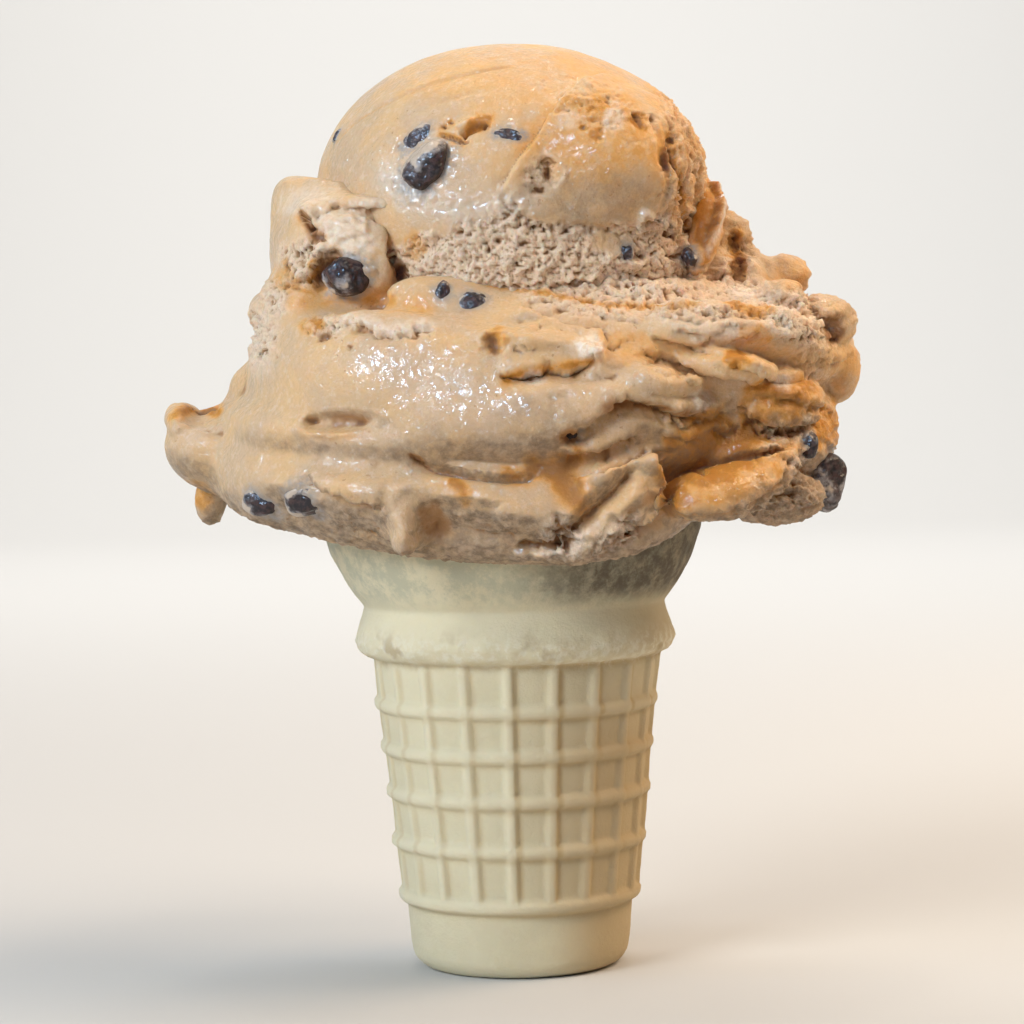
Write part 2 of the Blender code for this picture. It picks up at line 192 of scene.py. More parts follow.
def minus(tree, a, b):
    """What is left of a without b."""
    return add(tree, "Math", {0: a, 1: b}, operation="SUBTRACT").outputs[0]


def blended(tree, share, a, b):
    """Colour a where share is 0 and colour b where it is 1."""
    mix = add(tree, "Mix", data_type="RGBA")
    for socket, value in (("Factor_Float", share), ("A_Color", a), ("B_Color", b)):
        target = next(s for s in mix.inputs if s.identifier == socket)
        if isinstance(value, bpy.types.NodeSocket):
            tree.links.new(value, target)
        else:
            target.default_value = value if socket == "Factor_Float" else (*value, 1.0)
    return next(s for s in mix.outputs if s.identifier == "Result_Color")


def layered(tree, tone, *layers):
    """Lays colours over a tone in turn; each layer is its share and its colour."""
    for share, colour in layers:
        tone = blended(tree, share, tone, colour)
    return tone


def relief_of(tree, height, strength, depth):
    """The normals of a bump whose depth is in millimetres."""
    bump = add(tree, "Bump", {"Height": height, "Strength": strength, "Distance": depth * MM})
    return bump.outputs["Normal"]


def painted(tree, name):
    """A float attribute of the mesh."""
    return add(tree, "Attribute", attribute_name=name).outputs["Fac"]

# %% [markdown]
# ## Floor
# A pale sheet that curves up far behind the food gives an even background with no line where floor and
# wall meet. It is a lofted strip: one profile, copied to the left and right.

# %% Floor
SWEEP_WIDTH = 6.0
SWEEP_FRONT = -3.0
SWEEP_BACK = 1.4
SWEEP_BEND = 0.9
SWEEP_TOP = 3.0
BEND_STEPS = 24


def sweep_profile():
    """The sheet's outline from the front, along the floor and up the wall."""
    yield SWEEP_FRONT, 0.0
    for i in range(BEND_STEPS + 1):
        angle = math.pi / 2 * i / BEND_STEPS
        yield SWEEP_BACK + SWEEP_BEND * math.sin(angle), SWEEP_BEND * (1 - math.cos(angle))
    yield SWEEP_BACK + SWEEP_BEND, SWEEP_TOP


profile = list(sweep_profile())
strip = [(side * SWEEP_WIDTH / 2, y, z) for y, z in profile for side in (-1, 1)]
strip_faces = [(2 * i, 2 * i + 1, 2 * i + 3, 2 * i + 2) for i in range(len(profile) - 1)]
floor_mesh = bpy.data.meshes.new("floor")
floor_mesh.from_pydata(strip, [], strip_faces)
floor_mesh.shade_smooth()
floor = bpy.data.objects.new("floor", floor_mesh)
bpy.context.scene.collection.objects.link(floor)
paper, _, paper_shader = new_material("pale_paper")
paper_shader.inputs["Base Color"].default_value = (0.60, 0.59, 0.575, 1.0)
paper_shader.inputs["Roughness"].default_value = 0.8
floor_mesh.materials.append(paper)
print("floor:", len(strip_faces), "strips")

# %% [markdown]
# ## Noise for shapes
# A shader can fake fine grain, but crumbs, torn edges and dents are real relief here, so the meshes need a
# noise of their own. Working on whole arrays of points with numpy is far quicker than asking for one point
# at a time. Smooth noise comes from random gradients on a lattice. Folded at zero it gives lumps with sharp
# creases between them, which is what crumbs look like.

# %% Noise on arrays of points
GRADIENTS = np.random.default_rng(11).normal(size=(256, 3))
GRADIENTS /= np.linalg.norm(GRADIENTS, axis=1)[:, None]
SWELL_HEIGHT = 1.6
PRIMES = (73856093, 19349663, 83492791, 7919, 60493)


def lattice_number(cell, seed):
    """A number from 0 to 255 for each lattice box, the same every run; primes keep neighbours unlike."""
    mixed = cell[:, 0] * PRIMES[0] ^ cell[:, 1] * PRIMES[1] ^ cell[:, 2] * PRIMES[2] ^ seed * PRIMES[3]
    mixed = (mixed ^ (mixed >> 13)) * PRIMES[4]
    return (mixed ^ (mixed >> 16)) & 255


def swell(points, size, seed=0):
    """Smooth noise from about -1 to 1, with bumps of about this size; size may differ along x, y and z."""
    places = points / size
    cell = np.floor(places).astype(np.int64)
    inside = places - cell
    ease = inside**3 * (inside * (inside * 6 - 15) + 10)
    total = np.zeros(len(points))
    for corner in np.ndindex(2, 2, 2):
        corner = np.array(corner)
        slope = GRADIENTS[lattice_number(cell + corner, seed)]
        share = np.where(corner, ease, 1 - ease).prod(axis=1)
        total += share * ((inside - corner) * slope).sum(axis=1)
    return total * SWELL_HEIGHT


def rough(points, size, octaves=3, seed=0):
    """Swells upon swells, each half as large."""
    return sum(swell(points, np.multiply(size, 0.5**k), seed + k) * 0.5**k for k in range(octaves))


def drift(points, size, seed=0):
    """Three swells, one for each axis, that bend a pattern out of its straight lines."""
    return np.column_stack([swell(points, size, seed + k) for k in range(3)])


def clumps(points, size, seed=0):
    """Irregular lumps with sharp creases between them, from 0 in a crease to about 1 on a lump."""
    bent = points + 0.3 * np.max(size) * drift(points, size, seed)
    return np.abs(rough(bent, size, 3, seed + 3)) * 1.5


def ramp(value, low, high):
    """Eased from 0 at low to 1 at high."""
    t = np.clip((value - low) / (high - low), 0.0, 1.0)
    return t * t * (3 - 2 * t)


def plateau(value, start, full, fading, gone):
    """Eased from 0 up to 1 and back to 0."""
    return ramp(value, start, full) * (1 - ramp(value, fading, gone))


def bell(distance, width):
    """1 at no distance, falling away over this width."""
    return np.exp(-((distance / width) ** 2))


test_points = np.outer(np.arange(1, 6), (0.7, 1.9, 3.1))
print("noise at five points:", np.round(swell(test_points, 3.0), 2))

# %% [markdown]
# ## Wafer cup
# The real cup is a thin baked shell with a bulging collar and a grid of soft raised ribs. Its outline is a
# turned profile, so it could be a Screw modifier, but the ribs, the worn collar edge and the tiny blisters
# vary round the cup. A grid of rings, each point pushed in or out by a formula, gives all of that in one
# closed mesh with no seams.

# %% The cup's sizes
BASE_RADIUS = 17.7
BASE_ROUNDING = 3.4
BAND_TOP = 10.8
BAND_TOP_RADIUS = 18.3
COLLAR_BOTTOM = 50.8
COLLAR_TOP = 59.0
COLLAR_RADIUS = 26.0
NECK_RADIUS = 24.4
BOWL_CURVE = 2.8
WALL = 2.2
CUP_FLOOR = 2.6
LATTICE_FOOT_RADIUS = 18.6
LATTICE_HEAD_RADIUS = 22.9
RING_BOTTOMS = (10.8, 19.7, 27.7, 35.0, 42.1)
RING_WIDTH = 2.3
RING_RISE = 0.95
RIB_COUNT = 20
RIB_WIDTH = 2.2
RIB_RISE = 0.7
RIB_TURN = math.radians(15.0)
AROUND = 372
PROFILE_STEP = 0.42

# %% The cup's outline


def lattice_radius(z):
    """Outer radius of the tapered wall between its ribs."""
    return np.interp(z, (BAND_TOP, COLLAR_BOTTOM), (LATTICE_FOOT_RADIUS, LATTICE_HEAD_RADIUS))


def bowl_radius(z):
    """Outer radius of the flared bowl."""
    t = (z - COLLAR_TOP) / (CUP_HEIGHT - COLLAR_TOP)
    return NECK_RADIUS + (LIP_RADIUS - NECK_RADIUS) * (1 - (1 - t) ** BOWL_CURVE)


def cup_outline():
    """Points of the outer wall from the lip down to the base's centre."""
    for angle in np.radians(np.linspace(150, 15, 8)):
        yield LIP_RADIUS - WALL / 2 * (1 - math.cos(angle)), CUP_HEIGHT - WALL / 2 * (1 - math.sin(angle))
    for z in np.linspace(CUP_HEIGHT - WALL * 0.7, COLLAR_TOP + 0.6, 24):
        yield bowl_radius(z), z
    yield NECK_RADIUS + 0.1, COLLAR_TOP
    yield NECK_RADIUS + 0.4, COLLAR_TOP - 1.4
    yield NECK_RADIUS + 0.9, COLLAR_TOP - 2.8
    yield COLLAR_RADIUS - 0.2, COLLAR_BOTTOM + 3.6
    yield COLLAR_RADIUS, COLLAR_BOTTOM + 2.4
    yield COLLAR_RADIUS - 0.5, COLLAR_BOTTOM + 1.0
    yield COLLAR_RADIUS - 1.4, COLLAR_BOTTOM + 0.3
    yield LATTICE_HEAD_RADIUS + 0.1, COLLAR_BOTTOM - 0.2
    yield lattice_radius(BAND_TOP + 0.2), BAND_TOP + 0.2
    yield BAND_TOP_RADIUS, BAND_TOP - 0.2
    yield BASE_RADIUS + 0.1, BASE_ROUNDING + 0.6
    for angle in np.radians(np.linspace(0, -90, 8)):
        yield BASE_RADIUS - BASE_ROUNDING * (1 - math.cos(angle)), BASE_ROUNDING * (1 + math.sin(angle))
    yield 0.05, 0.0


def evenly(points, step):
    """The outline again, with points a step apart along it."""
    points = np.array(list(points))
    gone = np.concatenate([[0], np.cumsum(np.linalg.norm(np.diff(points, axis=0), axis=1))])
    stops = np.linspace(0, gone[-1], int(gone[-1] / step) + 1)
    return np.column_stack([np.interp(stops, gone, points[:, k]) for k in range(points.shape[1])])


outer = evenly(cup_outline(), PROFILE_STEP)
inner = np.array([(0.05, CUP_FLOOR), (LATTICE_FOOT_RADIUS - WALL - 1, CUP_FLOOR),
                  (LATTICE_FOOT_RADIUS - WALL, CUP_FLOOR + 1.5), (LATTICE_HEAD_RADIUS - WALL, COLLAR_BOTTOM),
                  (NECK_RADIUS - WALL, COLLAR_TOP), *[(bowl_radius(z) - WALL, z) for z in (62, 66, 72, 78)]])
outline = np.vstack([inner, outer])
print("outline:", len(inner), "points inside and", len(outer), "outside")

# %% Ribs, wear and blisters


def ring_rise(z):
    """Soft raised rings: sharp underneath, sloping above."""
    rise = np.zeros_like(z)
    for bottom in RING_BOTTOMS:
        top = bottom + RING_WIDTH
        rise = np.maximum(rise, RING_RISE * plateau(z, bottom - 0.25, bottom + 0.45, top - 1.0, top + 0.3))
    return rise


def past_rib(z, angle, before=0.5):
    """Millimetres round the wall past the nearest rib; this share of each gap counts as before its rib."""
    pitch = 2 * math.pi / RIB_COUNT
    return ((angle - RIB_TURN + pitch * before) % pitch - pitch * before) * lattice_radius(z)


def rib_rise(z, angle):
    """Soft upright ribs, steeper on one side, that die away at the collar."""
    off = past_rib(z, angle)
    shape = plateau(off, -RIB_WIDTH * 0.62, -RIB_WIDTH * 0.12, RIB_WIDTH * 0.2, RIB_WIDTH * 0.52)
    along = plateau(z, BAND_TOP + 0.5, BAND_TOP + 2.5, COLLAR_BOTTOM - 0.3, COLLAR_BOTTOM + 0.8)
    return RIB_RISE * shape * along


def browned_and_shaded_edge(z, angle):
    """The strip beside each rib and the line under each ring: partly browning of thin batter, partly painted
    shade.
    """
    off = past_rib(z, angle, 0.3)
    beside_rib = plateau(off, RIB_WIDTH * 0.15, RIB_WIDTH * 0.4, RIB_WIDTH * 0.55, RIB_WIDTH * 0.95)
    beside_rib *= plateau(z, BAND_TOP + 1.5, BAND_TOP + 3.5, COLLAR_BOTTOM - 1.5, COLLAR_BOTTOM)
    edges = (*RING_BOTTOMS, COLLAR_BOTTOM)
    under_ring = np.maximum.reduce([bell(z - bottom + 0.4, 0.55) for bottom in edges])
    return np.maximum(beside_rib, 0.8 * under_ring)


angles = np.linspace(0, 2 * math.pi, AROUND, endpoint=False)
rings = len(outline)
radius = np.repeat(outline[:, 0], AROUND)
height = np.repeat(outline[:, 1], AROUND)
angle = np.tile(angles, rings)
is_outside = np.repeat(np.arange(rings) >= len(inner), AROUND) & (height > 0.5)
round_place = np.column_stack([radius * np.cos(angle), radius * np.sin(angle), height])

rings_up = ring_rise(height)
ribs_up = rib_rise(height, angle) * (0.5 + 0.5 * ramp(radius * np.cos(angle), -21, -9))
lattice_up = np.maximum(rings_up, ribs_up) + 0.18 * np.minimum(rings_up, ribs_up)
lattice_up *= 1 + 0.16 * swell(round_place, 9.0, 3)
collar_edge = bell(height - COLLAR_BOTTOM - 2.0, 2.6)
bowl = ramp(height, COLLAR_TOP - 1, COLLAR_TOP + 4)
blisters = rough(round_place, 2.4, 3, 5)
push = lattice_up + 0.05 * blisters + 0.22 * swell(round_place, 14.0, 9)
chipped = 0.28 * ramp(swell(round_place, 5.0, 27), 0.15, 0.7)
push += collar_edge * (0.30 * rough(round_place, 3.0, 3, 21) - chipped)
push += bowl * 0.16 * rough(round_place, (4.0, 4.0, 3.0), 3, 31)
push *= is_outside * ramp(height, 0.4, 2.5)
ring_x = (radius + push) * np.cos(angle)
ring_y = (radius + push) * np.sin(angle)
cup_points = np.column_stack([ring_x, ring_y, height]) * MM
print(f"relief: {push.min():.2f} to {push.max():.2f} mm")

# %% Grid of rings to a closed mesh


def mesh_of(name, points, quads, triangles=()):
    """A smooth mesh from arrays of points in metres and of faces."""
    quads = np.asarray(quads, dtype=np.int32).reshape(-1, 4)
    triangles = np.asarray(triangles, dtype=np.int32).reshape(-1, 3)
    corners = np.concatenate([quads.ravel(), triangles.ravel()])
    sizes = np.concatenate([np.full(len(quads), 4), np.full(len(triangles), 3)])
    mesh = bpy.data.meshes.new(name)
    mesh.vertices.add(len(points))
    mesh.vertices.foreach_set("co", np.asarray(points, dtype=np.float32).ravel())
    mesh.loops.add(len(corners))
    mesh.loops.foreach_set("vertex_index", corners.astype(np.int32))
    mesh.polygons.add(len(sizes))
    mesh.polygons.foreach_set("loop_start", np.concatenate([[0], np.cumsum(sizes)[:-1]]).astype(np.int32))
    mesh.update(calc_edges=True)
    mesh.validate()
    mesh.shade_smooth()
    return mesh


ring_of = np.arange(rings * AROUND).reshape(rings, AROUND)
upper_ring = ring_of[:-1]
lower_ring = ring_of[1:]
upper_next = np.roll(upper_ring, -1, 1)
lower_next = np.roll(lower_ring, -1, 1)
cup_quads = np.stack([upper_ring, lower_ring, lower_next, upper_next], axis=-1).reshape(-1, 4)
floor_centre = len(cup_points)
base_centre = floor_centre + 1
cup_points = np.vstack([cup_points, [(0, 0, CUP_FLOOR * MM), (0, 0, 0)]])
floor_fan = np.stack([np.full(AROUND, floor_centre), ring_of[0], np.roll(ring_of[0], -1)], axis=-1)
base_fan = np.stack([np.full(AROUND, base_centre), np.roll(ring_of[-1], -1), ring_of[-1]], axis=-1)
cup_mesh = mesh_of("wafer", cup_points, cup_quads, np.vstack([floor_fan, base_fan]))
wafer = bpy.data.objects.new("wafer", cup_mesh)
bpy.context.scene.collection.objects.link(wafer)
print("wafer:", 2 * len(cup_quads) + 2 * AROUND, "triangles")


def paint(mesh, name, values):
    """Stores one number for each point, for the shader to read."""
    layer = mesh.attributes.new(name, "FLOAT", "POINT")
    layer.data.foreach_set("value", np.asarray(values, dtype=np.float32))


# painted warm shade: the right side of the cup, on the band, the wall and the bowl, is painted a warmer brown
on_wall = ramp(ring_x, -5, 17) * (1 - 0.55 * ramp(height, 36, 48))
on_band = ramp(ring_x, 3, 14)
on_bowl = 0.5 * ramp(ring_x, 13, 25)
# painted shadow: the bowl under the ice cream's overhang, at the right and front, is painted dark
overhang_shadow = ramp(ring_x + 2 * swell(round_place, 7.0, 35), -5, 13) * ramp(-ring_y, -12, 6)
cup_masks = {
    "raised": lattice_up,
    "worn": collar_edge,
    # stronger towards the right, away from the light: partly browning, partly painted shade
    "browned_and_shaded": browned_and_shaded_edge(height, angle) * (0.4 + 0.6 * ramp(ring_x, -8, 6)),
    "painted_shade": bowl * overhang_shadow,
    "warm_side_shade": np.where(height < BAND_TOP, on_band, np.where(height < COLLAR_BOTTOM, on_wall, on_bowl)),
}
for name, mask in cup_masks.items():
    paint(cup_mesh, name, np.append(mask, (0.0, 0.0)))  # the two centres stay bare

# %% [markdown]
# ## Baked wafer finish
# Baked wafer is matte, pale yellow and porous. The right side of the cup is painted a warmer brown as shade,
# the bowl has grey-green patches painted as the cool shade under the ice cream, and the collar's worn edge
# shows paler crumb. Beside the ribs and under the rings the batter is ochre, partly from browning and partly
# painted shade that is stronger on the right, and the bowl under the overhang is painted dark as its shadow.
# Nothing here shines, so the roughness stays high and a fine bump carries the pores.

# %% Wafer material
BAKED = (0.655, 0.58, 0.39)
BAKED_LIGHT = (0.705, 0.63, 0.435)
MOTTLED = (0.71, 0.64, 0.44)
RIB_PALE = (0.76, 0.685, 0.49)
OCHRE = (0.50, 0.35, 0.15)
# painted warm shade for the cup's right side
WARM_SHADE_BROWN = (0.48, 0.345, 0.175)
# painted shade: the cool grey-green of the bowl's shade under the ice cream
COOL_SHADE_GREEN = (0.38, 0.39, 0.28)
WORN_CRUMB = (0.74, 0.69, 0.54)
SCORCHED = (0.36, 0.25, 0.12)
# painted shadow on the bowl under the overhang
WAFER_SHADOW = (0.10, 0.078, 0.052)

wafer_material, tree, shader = new_material("wafer")
worn = painted(tree, "worn")
mottle = remap(tree, grain(tree, 3.2, 4.0, 0.7), 0.42, 0.62)
patches = remap(tree, grain(tree, 17.0, 2.0, 0.5, seed=3.0), 0.38, 0.66)
height_up = add(tree, "SeparateXYZ", {0: add(tree, "TexCoord").outputs["Object"]}).outputs["Z"]
in_bowl = remap(tree, height_up, (COLLAR_TOP - 1) * MM, (COLLAR_TOP + 4) * MM)
# painted shade: the bowl under the ice cream is patched with the cool grey-green of its shade
bowl_shade = times(tree, in_bowl, remap(tree, grain(tree, 4.5, 5.0, 0.75, seed=7.0), 0.40, 0.60))
crumb_edge = times(tree, worn, remap(tree, grain(tree, 1.5, 4.0, 0.7, seed=9.0), 0.45, 0.62))
scorched = times(tree, worn, remap(tree, grain(tree, 6.0, 3.0, 0.6, seed=5.0), 0.55, 0.68))
shadow_breakup = remap(tree, grain(tree, 2.5, 5.0, 0.75, seed=13.0), 0.30, 0.62, 0.55, 0.95)
tone = layered(
    tree, blended(tree, patches, BAKED, BAKED_LIGHT),
    (times(tree, mottle, 0.35), MOTTLED),
    (times(tree, remap(tree, painted(tree, "raised"), 0.1, 0.7), 0.45), RIB_PALE),
    # ochre beside the ribs and under the rings: partly browning, partly painted shade
    (times(tree, painted(tree, "browned_and_shaded"), 0.75), OCHRE),
    # painted warm shade on the right side
    (times(tree, painted(tree, "warm_side_shade"), 0.9), WARM_SHADE_BROWN),
    # painted cool shade in the bowl
    (times(tree, bowl_shade, 0.55), COOL_SHADE_GREEN),
    (times(tree, crumb_edge, 0.8), WORN_CRUMB),
    (times(tree, scorched, 0.6), SCORCHED),
    # painted shadow under the overhang
    (times(tree, painted(tree, "painted_shade"), shadow_breakup), WAFER_SHADOW),
)
tree.links.new(tone, shader.inputs["Base Color"])
shader.inputs["Roughness"].default_value = 0.85
shader.inputs["Subsurface Weight"].default_value = 0.15
shader.inputs["Subsurface Radius"].default_value = (1.0, 0.6, 0.3)
shader.inputs["Subsurface Scale"].default_value = 0.0015
pores = plus(tree, grain(tree, 0.5, 4.0, 0.7, seed=11.0), times(tree, grain(tree, 1.6, 3.0, 0.6), 0.8))
tree.links.new(relief_of(tree, pores, 0.55, 0.25), shader.inputs["Normal"])
cup_mesh.materials.append(wafer_material)
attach(wafer, "root")
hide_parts("wafer_cup")
print("wafer finish:", len(tree.nodes), "nodes")

# %% [markdown]
# ## Ice cream: lumps that are fused
# A scoop is built up the way it is piled: a big ball, rolls scraped up by the scoop, flaps and torn curls.
# Each is a ball or a string of balls along a curve. A voxel remesh fuses them into one skin, and smoothing
# melts the joins. Soft masses are fused first and smoothed well, then torn pieces are fused on while they
# are still sharp.

# %% Lumps and rolls
BEAD_SPACING = 1.6
LARGE_RADIUS = 12
MIDDLE_RADIUS = 4.5


def lump(bm, centre, radii, turn=(0, 0, 0), shoulders=2.0):
    """One ball scaled to radii and turned in degrees. More than 2 shoulders make it blockier."""
    detail = 5 if max(radii) > LARGE_RADIUS else 4 if max(radii) > MIDDLE_RADIUS else 3
    verts = bmesh.ops.create_icosphere(bm, subdivisions=detail, radius=1.0)["verts"]
    for vert in verts:
        side = math.hypot(vert.co.x, vert.co.y)
        vert.co /= (side**shoulders + abs(vert.co.z) ** shoulders) ** (1 / shoulders)
    rotation = Euler([math.radians(a) for a in turn])
    place = Matrix.LocRotScale(Vector(MOUTH + centre) * MM, rotation, Vector(radii) * MM)
    bmesh.ops.transform(bm, matrix=place, verts=verts)


def smooth_path(points, t):
    """A point of the smooth curve through points, t from 0 to 1."""
    spans = len(points) - 1
    i = min(int(t * spans), spans - 1)
    u = t * spans - i
    a, b, c, d = (np.array(points[min(max(k, 0), spans)], dtype=float) for k in (i - 1, i, i + 1, i + 2))
    bend = 2 * a - 5 * b + 4 * c - d
    twist = 3 * b - a - 3 * c + d
    return 0.5 * (2 * b + (c - a) * u + bend * u**2 + twist * u**3)


def roll(bm, path, depth, height, ends=(0.75, 0.75)):
    """A scraped roll: close beads along a smooth path, thinner towards its ends."""
    length = np.linalg.norm(np.diff(np.array(path, dtype=float), axis=0), axis=1).sum()
    beads = max(8, round(length / BEAD_SPACING))
    for i in range(beads + 1):
        t = i / beads
        end = ends[0] if t < 0.5 else ends[1]
        size = end + (1 - end) * math.sin(math.pi * t) ** 0.7
        radii = Vector((depth, depth, height)) * size
        place = Matrix.LocRotScale(Vector(MOUTH + smooth_path(path, t)) * MM, None, radii * MM)
        bmesh.ops.create_icosphere(bm, subdivisions=3, radius=1.0, matrix=place)


# %% The lower scoop's soft masses


def lower_soft_lumps(bm):
    """The base, the rolls round it, the ledge and the masses on the right."""
    lump(bm, (2, 1, 6), (41, 35, 16))
    lump(bm, (5, 1, 20), (39, 33, 13.5))
    roll(bm, [(-34, 8, 14), (-33.5, -12, 13.5), (-25, -25.5, 12.5), (-10, -31.5, 11), (6, -32, 9.5),
              (18, -30, 7.5), (27, -26, 5)], 9, 11.5)
    roll(bm, [(-45, 0, 2), (-39, -17, -2), (-27, -27.5, -4.5), (-11, -33, -7), (6, -33, -8.5),
              (16, -30.5, -8), (24, -26, -6)], 7.4, 8.2)
    roll(bm, [(-41, 0, 8), (-35, -18, 6), (-25, -27, 4.5), (-14, -32, 3)], 8.5, 5)
    lump(bm, (-41, -2, 12), (4.6, 7, 4.5))
    roll(bm, [(38, 14, 17), (22, 27, 16), (0, 32, 14), (-22, 26, 14), (-34, 8, 13)], 9, 10.5)
    roll(bm, [(46, 4, 0), (35, 23, -3), (13, 32, -6), (-10, 33, -6), (-30, 26, -3), (-43, 8, 0)], 8, 8.5)
    lump(bm, (14, 24, 24), (15, 9, 6), (0, 6, -18))
    lump(bm, (-16, 24, 25), (13, 9, 7), (0, -8, 22))
    lump(bm, (-46.5, -6, 2), (9.5, 10, 7), (0, 14, 0))
    roll(bm, [(-30, 6, 33), (-30.5, -6, 34.5), (-27.5, -15, 33.5), (-22, -21, 31)], 8, 11, (0.8, 0.62))
    lump(bm, (-32.6, -5, 40.9), (5.3, 9, 5), (0, 10, 0), 3.0)
    lump(bm, (-31, -11, 24), (9, 13, 8))
    lump(bm, (37, -4, 17.5), (17.5, 22, 9.5), (0, 8, 0))
    lump(bm, (35, -4, 2), (17.5, 25, 9.5))
    lump(bm, (36, -1, 28), (10, 13, 6.5), (0, 20, 0))
    lump(bm, (12, -27, 18), (24, 8, 6.5), (0, 4, 8))
    lump(bm, (33, -23, 11), (9, 7, 6))
    lump(bm, (-8, -26.5, 23.8), (11, 4.8, 4.8), (0, 12, 0))


# %% The lower scoop's torn pieces


def lower_torn_lumps(bm):
    """What was torn or scraped last and is still sharp."""
    # turned-up tongue at the far left and the drop that hangs behind it
    roll(bm, [(-52.4, -11, 6.0), (-53.2, -5, 7.6), (-52.3, 3, 7)], 2.6, 2.6)
    lump(bm, (-47.5, 1, -2.5), (4, 4.5, 4.5))
    lump(bm, (-49.2, 1, -6.2), (2.9, 3.2, 4.4))
    # knob and bumps down the left side
    lump(bm, (-38.4, -6, 24.2), (3.4, 5, 3.6))
    lump(bm, (-39.2, -3, 18.6), (2.4, 5, 3))
    # the ledge's right shoulder and its lip
    lump(bm, (-26.0, -16.2, 35.0), (8.4, 6.4, 6.8), (0, 0, 24), 3.6)
    roll(bm, [(-31, -11, 41.6), (-25.5, -17.4, 40.5), (-18.2, -21.6, 39.7)], 4.2, 1.5, (0.9, 0.4))
    # torn ridge along the top of the broad roll
    roll(bm, [(-31, -24.5, 21), (-23, -29, 21.8), (-14, -31, 21.4), (-7, -32, 21)], 4, 1.7)
    # shelves that run out to the right over the front
    lump(bm, (3.5, -33.5, 18.2), (11, 6.5, 2.6), (0, 8, 4))
    lump(bm, (13, -38.3, 16.2), (1.8, 1.8, 1.6))
    lump(bm, (16, -31.5, 12.8), (14, 7, 2.8), (0, 7, -6))
    lump(bm, (31, -27, 15), (11, 7, 2.2), (0, 12, -30))
    roll(bm, [(24, -28, 20), (36, -24.5, 19.5), (46, -17, 17.5)], 7, 4.4)
    # leaf folded up against the lower front, and the thin lip beside it
    lump(bm, (14.5, -33, -5), (8.5, 6.5, 6.8), (0, -35, 6))
    roll(bm, [(13, -34, -10), (18.5, -34.5, -4), (20.5, -33.5, 2)], 3.4, 3.6, (0.8, 0.8))
    roll(bm, [(-2, -35, -13.2), (6, -35, -14), (12, -33.5, -12.5)], 4, 1.8)
    # edge of the skirt's upper layer and the drip that falls from it
    roll(bm, [(-34, -27, -2.5), (-25, -32, -3.4), (-15, -34.8, -3.6), (-7, -35.5, -3)], 5, 2.6)
    roll(bm, [(-17.3, -35.4, -4.8), (-16.7, -37.6, -7.6), (-16.3, -38.6, -11.0)], 2.5, 2.6, (1.6, 0.95))
    lump(bm, (-16.3, -38.5, -11.5), (2.4, 2.4, 2.6))
    # block and rim at the right, with the golden curl and the lump under it
    lump(bm, (41, -22, 9), (8.5, 6, 4.3), (0, 4, 28), 3.0)
    roll(bm, [(40, -22, 0.5), (46, -17, 1.6), (49.5, -11, 1)], 3.2, 1.6)
    roll(bm, [(22.5, -34.6, -6.0), (28, -33.4, -6.8), (36.5, -29.5, -5.2), (43, -23.5, -0.8)], 4.2, 3.7,
         (0.03, 0.6))
    lump(bm, (41, -15, -7), (8.5, 9, 4.4))
    lump(bm, (43.0, -19.0, -3.4), (2.8, 3, 3.4))
    lump(bm, (34, -25.0, -0.6), (9.5, 5.0, 4.2), (0, -10, 0))
    # lumps down the right side
    roll(bm, [(31.8, -8, 42.2), (32.4, -12, 38.6), (31.4, -14.5, 34.4), (29.8, -16, 31)], 2.7, 2.8,
         (0.8, 0.8))
    lump(bm, (31.0, -6, 36.5), (3.0, 5, 7.0))
    lump(bm, (35.6, -4, 34.4), (4.2, 6, 4.6))
    lump(bm, (44.4, -3, 28), (4.6, 5, 3.8))
    lump(bm, (43, -14, 24), (5, 5, 3.6))
    lump(bm, (50, -9, 20.6), (5.8, 7, 4.3))
    lump(bm, (53, -4, 13.3), (3.7, 6, 5.8))
    lump(bm, (49.5, -8, 4.5), (3.2, 5, 6))


# %% The upper scoop


def upper_soft_lumps(bm):
    """The ball, its foot and the lap over its front right."""
    lump(bm, (1, 1, 41.6), (32, 31.5, 25), shoulders=2.1)
    lump(bm, (2.5, 0.5, 31.5), (31, 30.4, 14), shoulders=2.2)
    lump(bm, (14.5, -15, 46), (17.2, 16.6, 13.5), (0, 12, 0))


def upper_torn_lumps(bm):
    """The rim that stands up along the right."""
    roll(bm, [(27.6, -12, 49), (29.4, -12, 43), (28.8, -13, 37)], 2.4, 3)


# %% Fusing them
SOFT_MELT = 3.9
TORN_MELT = 1.8
LOWER_VOXELS = (0.8, 0.46)
UPPER_VOXELS = (0.7, 0.34)


def link(name, mesh):
    """A new object in the scene that shows the mesh."""
    obj = bpy.data.objects.new(name, mesh)
    bpy.context.scene.collection.objects.link(obj)
    return obj


def frozen(obj):
    """Replaces obj's mesh by what its modifiers make of it."""
    graph = bpy.context.evaluated_depsgraph_get()
    mesh = bpy.data.meshes.new_from_object(obj.evaluated_get(graph))
    old = obj.data
    obj.modifiers.clear()
    obj.data = mesh
    bpy.data.meshes.remove(old)
    return obj


def fused(name, bm, voxel, melt):
    """One skin round everything in bm. Melt is how far, in millimetres, smoothing reaches."""
    mesh = bpy.data.meshes.new(name)
    bm.to_mesh(mesh)
    bm.free()
    obj = link(name, mesh)
    remesh = obj.modifiers.new("Fuse", "REMESH")
    remesh.mode = "VOXEL"
    remesh.voxel_size = voxel * MM
    smooth = obj.modifiers.new("Soften", "SMOOTH")
    smooth.factor = 0.5
    smooth.iterations = max(1, round((melt / voxel) ** 2))
    return frozen(obj)


